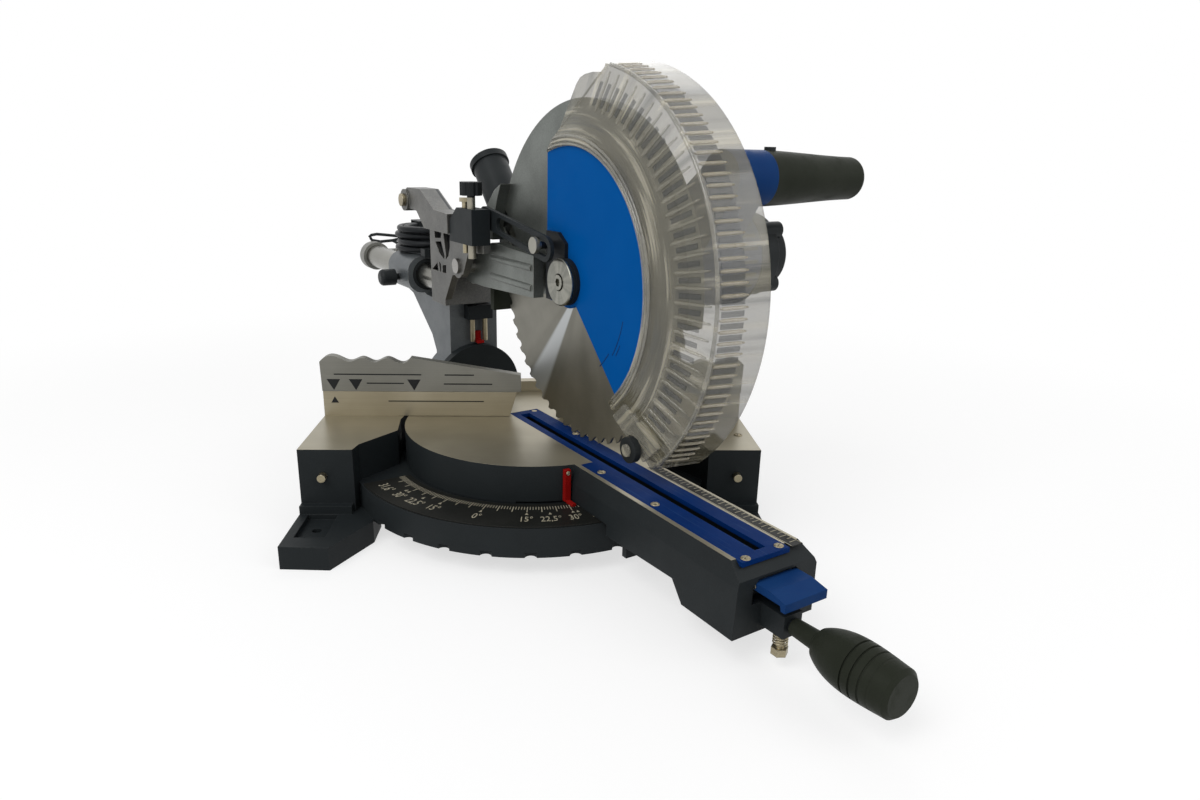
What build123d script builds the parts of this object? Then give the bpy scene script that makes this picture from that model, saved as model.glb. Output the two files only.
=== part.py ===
from build123d import *
import os
from math import cos, hypot, pi, radians, sin, sqrt

# Sliding compound mitre saw with a 305 mm blade, in millimetres, +Z up, the bench at Z = 0.
# The origin is the turntable's axis, midway between the four bench bolts.
# Everything on the turntable is drawn in the arm's own directions: u forward along the arm,
# n to the arm's right, z up from the table top. The arm stands at the mitre angle.

os.makedirs("parts", exist_ok=True)

# Placement
mitre_angle = 30.0
table_height = 85.0
run_gap = 0.3
pin_gap = 0.05

# Base
base_half_width = 222.5
wing_front = 92.0
wing_back = 50.0
wing_inner_radius = 141.0
wing_wall = 6.0
ring_radius = 187.0
ring_wall = 7.0
ring_top = 48.0
ring_bottom = 20.0
pan_radius = 136.0
pan_floor = 10.0
scale_thick = 1.5
scale_inner_radius = 139.0
scale_half_angle = 61.0
bolt_x = base_half_width - 22.5
bolt_y = 125.0
bolt_hole_radius = 4.5
foot_height = 22.0
foot_inner = base_half_width - 44.5
foot_toe = 167.0
notch_count = 9
pivot_radius = 10.0

# Fence
fence_face = 10.4
fence_thick = 12.0
fence_height = 27.0
fence_gap_half = 27.0
fence_top = 64.0
fence_inner_top = 46.0
fence_inner_end = 15.0
slide_thick = 10.0
tongue_thick = 4.4
tongue_deep = 8.5
bow_radius = 113.0
bow_width = 13.0
fence_bolt_radius = 4.0
fence_knob_radius = 9.0
fence_knob_x = base_half_width - 40.5
fence_bolt_spots = (base_half_width - 62.5, base_half_width - 17.5)

# Turntable and arm
turntable_radius = 135.0
turntable_plate = 10.0
rim_wall = 7.0
arm_end = 357.0
arm_left = -31.0
arm_right = 36.0
arm_right_wide = 46.0
arm_bottom = -58.0
arm_wall = 6.0
insert_thick = 4.0
insert_start = -32.0
insert_end = 352.0
slot_half = 5.5
slot_start = -22.0
slot_end = 342.0
channel_floor = -20.0
ruler_thick = 0.8
ruler_start = 172.0
pointer_lag = 17.0

# Mitre lock
rod_height = -44.0
rod_radius = 5.0
rod_reach = 1.5
guide_half = 9.0
guide_end = 380.0
neck_radius = 7.5
grip_start = 404.0
grip_end = 474.0
grip_radius = 20.0
spring_wire = 1.2
spring_turns = 5
spring_radius = 5.2
spring_pitch = 2.1
strap_bolt_u = 370.0
strap_bolt_radius = 3.5

# Bevel
hub_radius = 53.0
hub_front = -137.0
hub_thick = 11.0
column_hub_radius = 46.0
column_thick = 43.7
column_half = 30.0
bevel_shaft_radius = 9.0
housing_front = -224.0
housing_back = -292.0
housing_half_width = 50.0
housing_half_height = 22.0

# Slide
rail_radius = 15.0
rail_spacing = 50.0
rail_height = 126.0
rail_rear = -418.0
bush_wall = 4.0
bush_length = 20.0
carrier_back = -160.0
carrier_front = -122.0
lug_inner = 38.0
lug_thick = 8.0

# Head
chop_u = -86.0
chop_z = 155.0
chop_pin_radius = 8.0
spindle_u = 93.0
spindle_z = 162.0
motor_u = 128.0
motor_z = 182.0
arm_side = 29.0
upper_guard_radius = 158.0
sheet = 2.0
motor_radius = 46.0
motor_wall = 4.0
motor_start = 50.0
motor_end = 146.0
cap_end = 190.0
handle_u = 197.0
handle_z = 257.0
handle_root_radius = 23.5
handle_end_radius = 19.0
handle_start = 110.0
handle_end = 226.0
port_radius = 19.0
port_wall = 3.0

# Blade and drive
blade_radius = 152.5
blade_thick = 2.2
blade_bore = 15.0
tooth_count = 60
tooth_depth = 6.0
flange_radius = 20.5
flange_neck = 14.0
flange_cap_radius = 21.5
flange_cap_thick = 2.6
cap_face = -27.0
spindle_radius = 8.0
spindle_pulley_radius = 25.0
motor_pulley_radius = 10.0
belt_thick = 2.4
motor_shaft_radius = 5.0

# Guard
plate_radius = 118.0
plate_side = -17.0
plate_thick = 3.0
plate_left = 55.0
bead_radius = 127.0
ridge_radius = 186.0
rim_radius = 191.0
rim_side = 48.0
guard_wall = 2.5
guard_low_angle = -52.0
guard_floor = 14.0
hub_boss_radius = 18.0
hub_bore = 14.8
link_pivot_u = -40.0
link_pivot_z = 210.0
link_pin_u = 69.0
link_pin_z = 193.0
link_pin_radius = 3.5
link_slot_half = 6.5
link_side = -32.0
link_thick = 4.0
roller_radius = 11.5

# Cord
cord_radius = 3.6
coil_inner = 30.0
coil_pitch = 8.0
coil_u = -266.0
coil_lift = 2.2
lead_length = 18.0
tail_length = 55.0
tail_bend = 20.0
tail_drop = 10.0
plug_radius = 17.0
plug_length = 38.0

forward = Vector(sin(radians(mitre_angle)), -cos(radians(mitre_angle)), 0)
right = Vector(cos(radians(mitre_angle)), sin(radians(mitre_angle)), 0)
up = Vector(0, 0, 1)


# The arm's planes: side holds (u, z), cross holds (n, z), level holds (u, n)
def side(n):
    return Plane(origin=right * n + up * table_height, x_dir=forward, z_dir=-right)


def cross(u):
    return Plane(origin=forward * u + up * table_height, x_dir=right, z_dir=forward)


def level(z):
    return Plane(origin=up * (table_height + z), x_dir=forward, z_dir=up)


# Solids between two stations, joined to the part that is being built
def outline_on(plane, points):
    with BuildSketch(plane) as face:
        with BuildLine():
            Polyline(*points, close=True)
        make_face()
    return face.sketch


def disc_on(plane, centre, radius):
    with BuildSketch(plane) as face:
        with Locations(centre):
            Circle(radius)
    return face.sketch


def hull_on(plane, discs):
    with BuildSketch(plane) as face:
        for x, y, radius in discs:
            with Locations((x, y)):
                Circle(radius)
        make_hull()
    return face.sketch


def slab_across(points, n_from, n_to, mode=Mode.ADD):
    extrude(outline_on(side(n_to), points), amount=n_to - n_from, mode=mode)


def disc_across(u, z, radius, n_from, n_to, mode=Mode.ADD):
    extrude(disc_on(side(n_to), (u, z), radius), amount=n_to - n_from, mode=mode)


def hull_across(discs, n_from, n_to, mode=Mode.ADD):
    extrude(hull_on(side(n_to), discs), amount=n_to - n_from, mode=mode)


def slab_along(points, u_from, u_to, mode=Mode.ADD):
    extrude(outline_on(cross(u_from), points), amount=u_to - u_from, mode=mode)


def disc_along(n, z, radius, u_from, u_to, mode=Mode.ADD):
    extrude(disc_on(cross(u_from), (n, z), radius), amount=u_to - u_from, mode=mode)


def slab_up(points, z_from, z_to, mode=Mode.ADD):
    extrude(outline_on(level(z_from), points), amount=z_to - z_from, mode=mode)


def disc_up(u, n, radius, z_from, z_to, mode=Mode.ADD):
    extrude(disc_on(level(z_from), (u, n), radius), amount=z_to - z_from, mode=mode)


def box(u_from, u_to, n_from, n_to, z_from, z_to, mode=Mode.ADD):
    corners = [(u_from, n_from), (u_to, n_from), (u_to, n_to), (u_from, n_to)]
    slab_up(corners, z_from, z_to, mode)


# Solids of the base, in the bench's own X, Y and Z
def bench_slab(points, z_from, z_to, mode=Mode.ADD):
    extrude(outline_on(Plane.XY.offset(z_from), points), amount=z_to - z_from, mode=mode)


def bench_disc(x, y, radius, z_from, z_to, mode=Mode.ADD):
    extrude(disc_on(Plane.XY.offset(z_from), (x, y), radius), amount=z_to - z_from, mode=mode)


def bench_box(x_from, x_to, y_from, y_to, z_from, z_to, mode=Mode.ADD):
    corners = [(x_from, y_from), (x_to, y_from), (x_to, y_to), (x_from, y_to)]
    bench_slab(corners, z_from, z_to, mode)


def bench_rod(x, z, radius, y_from, y_to, mode=Mode.ADD):
    plane = Plane(origin=(0, y_from, 0), x_dir=(-1, 0, 0), z_dir=(0, 1, 0))
    extrude(disc_on(plane, (-x, z), radius), amount=y_to - y_from, mode=mode)


def front_profile(points, y_from, y_to, mode=Mode.ADD):
    plane = Plane(origin=(0, y_from, 0), x_dir=(-1, 0, 0), z_dir=(0, 1, 0))
    extrude(outline_on(plane, [(-x, z) for x, z in points]), amount=y_to - y_from, mode=mode)


# Half a turn that climbs: two quarter circles in tilted planes, level at both ends
def climbing_half_turn(frame, start_x, height, rise):
    run = hypot(start_x, rise / 2)
    middle = (0, run if start_x > 0 else -run, height + rise / 2)
    turn = Vector(0, 1 if start_x > 0 else -1, 0)
    TangentArc(
        frame.from_local_coords((start_x, 0, height)), frame.from_local_coords(middle),
        tangent=frame.from_local_coords(turn) - frame.origin,
    )
    TangentArc(
        frame.from_local_coords(middle), frame.from_local_coords((-start_x, 0, height + rise)),
        tangent=frame.from_local_coords(Vector(-start_x, 0, rise / 2)) - frame.origin,
    )


def flat_half_turn(frame, start_x, end_x, height):
    bulge = (start_x - end_x) / 2
    ThreePointArc(
        frame.from_local_coords((start_x, 0, height)),
        frame.from_local_coords(((start_x + end_x) / 2, bulge, height)),
        frame.from_local_coords((end_x, 0, height)),
    )


# Smallest gap of a wound tube to itself, over the stretches of its path that don't follow each other
def gap_to_itself(path, radius):
    edges = path.edges()
    spans = []
    for i, first in enumerate(edges):
        for other in edges[i + 2:]:
            spans.append(first.distance_to(other))
    return min(spans) - 2 * radius


def save(piece, label):
    piece.part.label = label
    export_step(piece.part, f"parts/{label}.step")


# Base casting: pan, scale ring with detent notches, two wings and four bolted feet
wing_corner = 171.0
wing_notch = 168.0
wing_chamfer_x = 138.0
wing_chamfer_y = 36.0
wing_inner_x = sqrt(wing_inner_radius**2 - wing_back**2)
foot_back = 150.0
foot_slope_top = 30.0
recess_half_x = 14.0
recess_half_y = 24.0
recess_deep = 5.0

with BuildPart() as base_casting:
    bench_disc(0, 0, pan_radius, ring_top - pan_floor, ring_top)
    bench_disc(0, 0, pan_radius, ring_bottom, ring_top)
    bench_disc(0, 0, pan_radius - ring_wall, ring_bottom, ring_top - pan_floor, Mode.SUBTRACT)
    bench_disc(0, 0, pivot_radius + 16, ring_bottom, ring_top)
    with BuildSketch(Plane.XY.offset(ring_bottom)) as scale_ring:
        Circle(ring_radius)
        Circle(pan_radius - ring_wall, mode=Mode.SUBTRACT)
        with Locations((0, ring_radius / 2)):
            Rectangle(2.2 * ring_radius, ring_radius, mode=Mode.SUBTRACT)
    extrude(amount=ring_top - ring_bottom)
    with BuildSketch(Plane.XY.offset(ring_bottom)) as ring_hollow:
        Circle(ring_radius - ring_wall)
        Circle(pan_radius, mode=Mode.SUBTRACT)
        with Locations((0, ring_radius / 2 - ring_wall)):
            Rectangle(2.2 * ring_radius, ring_radius, mode=Mode.SUBTRACT)
    extrude(amount=ring_top - ring_bottom - ring_wall, mode=Mode.SUBTRACT)
    notch_step = 2 * scale_half_angle * 0.8 / (notch_count - 1)
    for i in range(notch_count):
        angle = radians(-90 + (i - (notch_count - 1) / 2) * notch_step)
        bench_disc(
            (ring_radius + 1) * cos(angle), (ring_radius + 1) * sin(angle), 5.5,
            ring_bottom, ring_bottom + 5, Mode.SUBTRACT,
        )
    for hand in (-1, 1):
        wing = [
            (hand * base_half_width, -wing_front),
            (hand * wing_corner, -wing_front),
            (hand * wing_notch, -wing_front + 15),
            (hand * wing_chamfer_x, -wing_chamfer_y),
            (hand * wing_inner_radius, 0),
            (hand * wing_inner_x, wing_back),
            (hand * base_half_width, wing_back),
        ]
        bench_slab(wing, ring_bottom, table_height)
        pocket = (hand * (wing_notch + wing_wall), hand * (base_half_width - wing_wall))
        bench_box(
            min(pocket), max(pocket), wing_wall - wing_front, wing_back - wing_wall,
            0, table_height - wing_wall, Mode.SUBTRACT,
        )
        bridge = (hand * (pan_radius - ring_wall), hand * (wing_notch + wing_wall))
        bench_box(min(bridge), max(bridge), -wing_front + 30, wing_back, ring_bottom, ring_top)
        toe = [
            (hand * base_half_width, -wing_front + 10),
            (hand * base_half_width, -foot_toe),
            (hand * foot_inner, -foot_toe - 3),
            (hand * (foot_inner - 28), -wing_front - 24),
            (hand * (foot_inner - 28), -wing_front + 10),
        ]
        bench_slab(toe, 0, foot_height)
        wall = [
            (hand * base_half_width, -wing_front + 10),
            (hand * base_half_width, -wing_front - 8),
            (hand * (wing_corner + 2), -wing_front - 8),
            (hand * (wing_corner + 2), -wing_front + 10),
        ]
        bench_slab(wall, 0, foot_slope_top)
        side_rail = (hand * foot_inner, hand * base_half_width)
        bench_box(min(side_rail), max(side_rail), wing_back - wing_wall, foot_back, 0, foot_height)
        legs = (hand * (base_half_width - wing_wall), hand * base_half_width)
        bench_box(min(legs), max(legs), -wing_front, wing_back, 0, ring_bottom)
        for y in (-bolt_y, bolt_y):
            bench_box(
                hand * bolt_x - recess_half_x, hand * bolt_x + recess_half_x,
                y - recess_half_y, y + recess_half_y,
                foot_height - recess_deep, foot_height, Mode.SUBTRACT,
            )
            bench_disc(hand * bolt_x, y, bolt_hole_radius, 0, foot_height, Mode.SUBTRACT)
        for x in fence_bolt_spots:
            bench_disc(
                hand * x, fence_face + fence_thick + 8, fence_bolt_radius + pin_gap,
                table_height - 20, table_height, Mode.SUBTRACT,
            )
        bench_rod(hand * bolt_x, table_height - 27, 4 + pin_gap, -wing_front, 20 - wing_front, Mode.SUBTRACT)
    bench_disc(0, 0, pivot_radius + pin_gap, ring_bottom, ring_top, Mode.SUBTRACT)
save(base_casting, "base_casting")

with BuildPart() as mitre_scale:
    with BuildSketch(Plane.XY.offset(ring_top)) as scale_face:
        Circle(ring_radius - 1)
        Circle(scale_inner_radius, mode=Mode.SUBTRACT)
        reach = 2 * ring_radius
        edge = radians(scale_half_angle)
        with BuildLine():
            Polyline(
                (0, 0), (-reach * sin(edge), -reach * cos(edge)), (-reach, reach),
                (reach, reach), (reach * sin(edge), -reach * cos(edge)), close=True,
            )
        make_face(mode=Mode.SUBTRACT)
    extrude(amount=scale_thick)
save(mitre_scale, "mitre_scale")

# Fixed fence: two halves joined by a bow behind the blade's gap
fence_base = table_height + run_gap
fence_shoulder = table_height + fence_height
flange_back = fence_face + fence_thick + 18.0
groove_back = fence_face + 4.0 + tongue_thick + 2 * run_gap

with BuildPart() as fixed_fence:
    for hand in (-1, 1):
        half = [
            (hand * base_half_width, table_height),
            (hand * (wing_inner_radius + 3), table_height),
            (hand * (wing_inner_radius + 3), fence_base),
            (hand * fence_gap_half, fence_base),
            (hand * (fence_gap_half - 8), fence_shoulder),
            (hand * base_half_width, fence_shoulder),
        ]
        front_profile(half, fence_face, fence_face + fence_thick)
        foot = (hand * (base_half_width - 72.5), hand * (base_half_width - 7.5))
        bench_box(
            min(foot), max(foot), fence_face + fence_thick, flange_back, table_height, table_height + 6,
        )
        for x in fence_bolt_spots:
            bench_disc(
                hand * x, fence_face + fence_thick + 8, fence_bolt_radius + pin_gap,
                table_height, table_height + 6, Mode.SUBTRACT,
            )
    with BuildSketch(Plane.XY.offset(fence_base)) as bow:
        Circle(bow_radius + bow_width / 2)
        Circle(bow_radius - bow_width / 2, mode=Mode.SUBTRACT)
        with Locations((0, fence_face - bow_radius)):
            Rectangle(4 * bow_radius, 2 * bow_radius + fence_thick, mode=Mode.SUBTRACT)
    extrude(amount=12)
    bench_box(
        -base_half_width, base_half_width, fence_face + 4, groove_back,
        fence_shoulder - tongue_deep - run_gap, fence_shoulder, Mode.SUBTRACT,
    )
    for hand in (-1, 1):
        bench_rod(
            hand * fence_knob_x, fence_shoulder - 5, 3 + pin_gap,
            groove_back, fence_face + fence_thick, Mode.SUBTRACT,
        )
save(fixed_fence, "fixed_fence")

with BuildPart() as base_fasteners:
    bench_disc(0, 0, pivot_radius, ring_bottom, table_height - 27)
    bench_disc(0, 0, pivot_radius + 5, ring_bottom - 8, ring_bottom)
    for hand in (-1, 1):
        for x in fence_bolt_spots:
            y = fence_face + fence_thick + 8
            bench_disc(hand * x, y, fence_bolt_radius, table_height - 16, table_height + 6)
            with BuildSketch(Plane.XY.offset(table_height + 6)):
                with Locations((hand * x, y)):
                    RegularPolygon(6.5, 6)
            extrude(amount=5)
        bench_rod(hand * bolt_x, table_height - 27, 4, -wing_front - 7, 15 - wing_front)
save(base_fasteners, "base_fasteners")


# A sliding fence: wavy outer end, top that falls towards the blade, tongue in the fixed half
def build_sliding_fence(hand):
    wave_in = [-1.5, 17.5, 30.5, 42.5, 55.5, 67.5, 80.5, 92.5]
    wave_rise = [-5, 0, -4.5, -0.5, -5, -0.5, -5.5, 0]
    low = table_height + fence_height + run_gap
    top = table_height + fence_top
    plane = Plane(origin=(0, fence_face, 0), x_dir=(-1, 0, 0), z_dir=(0, 1, 0))
    with BuildPart() as fence:
        with BuildSketch(plane) as face:
            with BuildLine():
                wave = [(hand * (x - base_half_width), top + rise) for x, rise in zip(wave_in, wave_rise)]
                Spline(*wave)
                Polyline(
                    wave[-1],
                    (-hand * fence_inner_end, table_height + fence_inner_top),
                    (-hand * fence_inner_end, low),
                    (-hand * (base_half_width + 0.5), low),
                    wave[0],
                )
            make_face()
        extrude(amount=slide_thick)
        tongue = (hand * (fence_gap_half + 5), hand * (base_half_width - 4.5))
        bench_box(
            min(tongue), max(tongue), fence_face + 4 + run_gap, fence_face + 4 + run_gap + tongue_thick,
            low - tongue_deep, low,
        )
    return fence


fence_slide_left = build_sliding_fence(-1)
save(fence_slide_left, "fence_slide_left")
fence_slide_right = build_sliding_fence(1)
save(fence_slide_right, "fence_slide_right")


# A fence lock knob: stem through the back of the groove, fluted grip behind
def build_fence_knob(hand):
    back = fence_face + fence_thick
    with BuildPart() as knob:
        bench_rod(hand * fence_knob_x, fence_shoulder - 5, 3, groove_back, back + 4)
        bench_rod(hand * fence_knob_x, fence_shoulder - 5, fence_knob_radius, back + 2, back + 16)
        for i in range(6):
            angle = radians(60 * i)
            bench_rod(
                hand * fence_knob_x + (fence_knob_radius + 1.5) * cos(angle),
                fence_shoulder - 5 + (fence_knob_radius + 1.5) * sin(angle),
                3.5, back + 2, back + 16, Mode.SUBTRACT,
            )
    return knob


fence_knob_left = build_fence_knob(-1)
save(fence_knob_left, "fence_knob_left")
fence_knob_right = build_fence_knob(1)
save(fence_knob_right, "fence_knob_right")

# Turntable: open disc with the kerf channel, the long front arm and the rear boss
table_bottom = ring_top + run_gap - table_height
over_ring = ring_top + scale_thick + 2 * run_gap - table_height
ring_clear = ring_radius + 5.0
arm_chamfer = 17.0
front_chamfer = 12.0
mouth_left = -19.0
mouth_right = 29.0
mouth_top = -14.0
mouth_low = rod_height + guide_half + 1.0

with BuildPart() as turntable_casting:
    disc_up(0, 0, turntable_radius, table_bottom, 0)
    disc_up(0, 0, turntable_radius - rim_wall, table_bottom, -turntable_plate, Mode.SUBTRACT)
    disc_up(0, 0, pivot_radius + 12, table_bottom, -turntable_plate)
    box(insert_start - 8, turntable_radius, slot_half - 22, slot_half + 16, channel_floor - 4, 0)
    section = [
        (arm_left, 0), (arm_right, 0), (arm_right_wide, -arm_chamfer),
        (arm_right_wide, arm_bottom), (arm_left - 5, arm_bottom), (arm_left - 3, -arm_chamfer),
    ]
    slab_along(section, turntable_radius - 20, arm_end)
    box(0, ring_clear, -80, 80, -table_height, over_ring, Mode.SUBTRACT)
    inner = [
        (arm_left + arm_wall, -insert_thick - 5), (arm_right, -insert_thick - 5),
        (arm_right_wide - arm_wall, -arm_chamfer - 3), (arm_right_wide - arm_wall, -table_height),
        (arm_left + arm_wall, -table_height),
    ]
    slab_along(inner, ring_clear + arm_wall, arm_end - arm_wall, Mode.SUBTRACT)
    underside = [
        (ring_clear - 30, arm_bottom - 1), (ring_clear - 30, arm_bottom + 12),
        (arm_end - 72, arm_bottom + 16),
        (arm_end - 58, arm_bottom), (arm_end - 58, arm_bottom - 1),
    ]
    slab_across(underside, -80, 80, Mode.SUBTRACT)
    box(ring_clear, arm_end - arm_wall, slot_half - 17, slot_half + 13, channel_floor - 4, -2)
    wedge = [
        (arm_end + 1, 1), (arm_end - front_chamfer, 1), (arm_end - front_chamfer, 0),
        (arm_end, -front_chamfer), (arm_end + 1, -front_chamfer),
    ]
    slab_across(wedge, -80, 80, Mode.SUBTRACT)
    web = [
        (arm_left + 1, -insert_thick - 6), (arm_right, -insert_thick - 6),
        (arm_right_wide - 1, arm_bottom), (arm_left + 1, arm_bottom),
    ]
    slab_along(web, 210, 216)
    disc_along(0, rod_height, rod_radius + pin_gap, ring_radius, 230, Mode.SUBTRACT)
    mouth = [
        (mouth_left, mouth_low), (mouth_left, mouth_top - 6), (mouth_left + 6, mouth_top),
        (mouth_right - 6, mouth_top), (mouth_right, mouth_top - 6), (mouth_right, mouth_low),
    ]
    slab_along(mouth, arm_end - arm_wall - 1, arm_end + 1, Mode.SUBTRACT)
    socket = [
        (-guide_half, rod_height - guide_half), (guide_half, rod_height - guide_half),
        (guide_half, mouth_low + 1), (-guide_half, mouth_low + 1),
    ]
    slab_along(socket, arm_end - arm_wall - 1, arm_end + 1, Mode.SUBTRACT)
    box(hub_front, -turntable_radius + 30, -40, 40, table_bottom, -1)
    box(
        -turntable_radius + 8, -turntable_radius + 31, -36, 36, table_bottom - 1, -turntable_plate,
        Mode.SUBTRACT,
    )
    insert_bed = [
        (insert_start, -13.5), (turntable_radius, -13.5), (turntable_radius, -26.5),
        (insert_end, -26.5), (insert_end, 20.5), (insert_start, 20.5),
    ]
    slab_up(insert_bed, -insert_thick, 1, Mode.SUBTRACT)
    box(slot_start - 4, slot_end + 4, slot_half - 14, slot_half + 9, channel_floor, 1, Mode.SUBTRACT)
    box(ruler_start, insert_end, 22.5, 34, -ruler_thick, 1, Mode.SUBTRACT)
    disc_up(0, 0, pivot_radius + pin_gap, table_bottom - 1, channel_floor - 4, Mode.SUBTRACT)
save(turntable_casting, "turntable_casting")

with BuildPart() as kerf_insert:
    insert_plan = [
        (insert_start, -13.5), (turntable_radius, -13.5), (turntable_radius, -26.5),
        (insert_end, -26.5), (insert_end, 20.5), (insert_start, 20.5),
    ]
    slab_up(insert_plan, -insert_thick, 0)
    box(slot_start, slot_end, -slot_half, slot_half, -insert_thick, 0, Mode.SUBTRACT)
    insert_screw_spots = [(348, -20), (346, 15), (240, -20), (160, -20), (60, 14.5), (-27, 14.5)]
    for u, n in insert_screw_spots:
        disc_up(u, n, 3.2, -2.2, 0, Mode.SUBTRACT)
save(kerf_insert, "kerf_insert")

with BuildPart() as arm_ruler:
    box(ruler_start, insert_end, 22.5, 34, -ruler_thick, 0)
save(arm_ruler, "arm_ruler")

# The pointer stands to the left of the arm, over the scale
with BuildPart() as mitre_pointer:
    lag = radians(pointer_lag)
    stem_u = turntable_radius * cos(lag) + 1.5
    stem_n = -turntable_radius * sin(lag)
    box(stem_u - 0.5, stem_u + 4, stem_n - 3, stem_n + 3, over_ring + 1, -3)
    box(stem_u - 0.5, stem_u + 15, stem_n - 2, stem_n + 2, over_ring, over_ring + 2.5)
    disc_up(0, 0, turntable_radius, over_ring - 1, 0, Mode.SUBTRACT)
save(mitre_pointer, "mitre_pointer")

column_front = hub_front - hub_thick - run_gap
column_back = column_front - column_thick
lever_front = column_back - run_gap

# Half-disc hub with the shaft that the column tilts on
with BuildPart() as bevel_hub:
    disc_along(0, 0, hub_radius, hub_front - hub_thick, hub_front)
    box(hub_front - hub_thick - 1, hub_front + 1, -80, 80, -100, -30, Mode.SUBTRACT)
    disc_along(0, 0, bevel_shaft_radius, lever_front - 18, hub_front - hub_thick)
save(bevel_hub, "bevel_hub")

# Mitre lock: square guide in the arm's mouth, spring bolt below it, rod and barrel grip
bolt_drop = rod_height - guide_half
spring_low = bolt_drop - 1.5 - spring_turns * spring_pitch

with BuildPart() as rod_guide:
    box(
        arm_end - arm_wall - 6, guide_end, -guide_half, guide_half,
        rod_height - guide_half, rod_height + guide_half,
    )
    disc_along(0, rod_height, rod_radius + pin_gap, arm_end - arm_wall - 6, guide_end, Mode.SUBTRACT)
save(rod_guide, "rod_guide")

# The spring is one wire wound round the bolt on half turns that climb
spring_frame = Plane(
    origin=forward * strap_bolt_u + up * (table_height + spring_low + spring_wire / 2),
    x_dir=forward, z_dir=up,
)
with BuildPart() as strap_spring:
    with BuildLine() as spring_path:
        for i in range(2 * spring_turns):
            half_rise = spring_pitch / 2
            climbing_half_turn(spring_frame, spring_radius * (-1) ** i, half_rise * i, half_rise)
    with BuildSketch(Plane(origin=spring_path.line @ 0, z_dir=spring_path.line % 0)):
        Circle(spring_wire / 2)
    sweep()
save(strap_spring, "strap_spring")

with BuildPart() as lock_rod:
    disc_along(0, rod_height, rod_radius, ring_radius + rod_reach, grip_start + 20)
save(lock_rod, "lock_rod")

grip_fluting = 4
with BuildPart() as lock_grip:
    with BuildSketch(Plane(origin=up * (table_height + rod_height), x_dir=forward, z_dir=-right)) as half:
        with BuildLine():
            Polyline(
                (grip_start, neck_radius), (guide_end + 2, neck_radius - 1),
                (guide_end + 2, rod_radius + pin_gap),
                (grip_start + 20 + pin_gap, rod_radius + pin_gap), (grip_start + 20 + pin_gap, 0),
                (grip_end, 0), (grip_end, grip_radius - 5), (grip_end - 3, grip_radius - 2),
            )
            Spline(
                (grip_end - 3, grip_radius - 2), (grip_end - 30, grip_radius),
                (grip_start + 14, grip_radius - 3), (grip_start + 3, grip_radius - 8),
            )
            Line((grip_start + 3, grip_radius - 8), (grip_start, neck_radius))
        make_face()
    axis_line = Axis(origin=tuple(up * (table_height + rod_height)), direction=tuple(forward))
    revolve(axis=axis_line)
    for i in range(grip_fluting):
        u = grip_end - 14 - 7 * i
        with BuildSketch(cross(u)):
            with Locations((0, rod_height)):
                Circle(grip_radius + 3)
                Circle(grip_radius - 1.2, mode=Mode.SUBTRACT)
        extrude(amount=1.6, mode=Mode.SUBTRACT)
save(lock_grip, "lock_grip")

# Thumb lever that lifts the detent
lever_pivot_u = arm_end - 2.0
lever_pivot_z = -20.0
lever_tip = arm_end + 29.0
with BuildPart() as detent_lever:
    paddle = [
        (lever_pivot_u, lever_pivot_z - 3), (lever_pivot_u, lever_pivot_z + 3),
        (arm_end + 14, lever_pivot_z + 3), (lever_tip, lever_pivot_z), (lever_tip, lever_pivot_z - 7),
        (lever_tip - 4, lever_pivot_z - 7), (lever_tip - 5, lever_pivot_z - 3),
    ]
    slab_across(paddle, mouth_left + 3, mouth_right - 3)
    disc_across(lever_pivot_u, lever_pivot_z, 3, mouth_left + 3, mouth_right - 3)
    disc_across(lever_pivot_u, lever_pivot_z, 2.0 + pin_gap, mouth_left + 3, mouth_right - 3, Mode.SUBTRACT)
save(detent_lever, "detent_lever")

# Arm hardware: insert screws, the lever's pin and the spring bolt
with BuildPart() as arm_fasteners:
    for u, n in insert_screw_spots:
        disc_up(u, n, 3.0, -2.2, -0.2)
    disc_across(lever_pivot_u, lever_pivot_z, 2.0, mouth_left + 2.1, mouth_right - 2.1)
    disc_up(strap_bolt_u, 0, strap_bolt_radius, spring_low - 2, bolt_drop)
    with BuildSketch(level(spring_low - 8)):
        with Locations((strap_bolt_u, 0)):
            RegularPolygon(6.5, 6)
    extrude(amount=6)
save(arm_fasteners, "arm_fasteners")

# Bevel clamp lever behind the column
lever_reach = 70.0
lever_angle = radians(-10)
with BuildPart() as bevel_lever:
    disc_along(0, 0, 15, lever_front - 16, lever_front)
    tip = (lever_reach * cos(lever_angle), lever_reach * sin(lever_angle))
    with BuildSketch(cross(lever_front - 14)):
        with Locations((0, 0)):
            Circle(11)
        with Locations(tip):
            Circle(7)
        make_hull()
    extrude(amount=9)
    disc_along(0, 0, bevel_shaft_radius + pin_gap, lever_front - 20, lever_front + 1, Mode.SUBTRACT)
save(bevel_lever, "bevel_lever")

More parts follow.
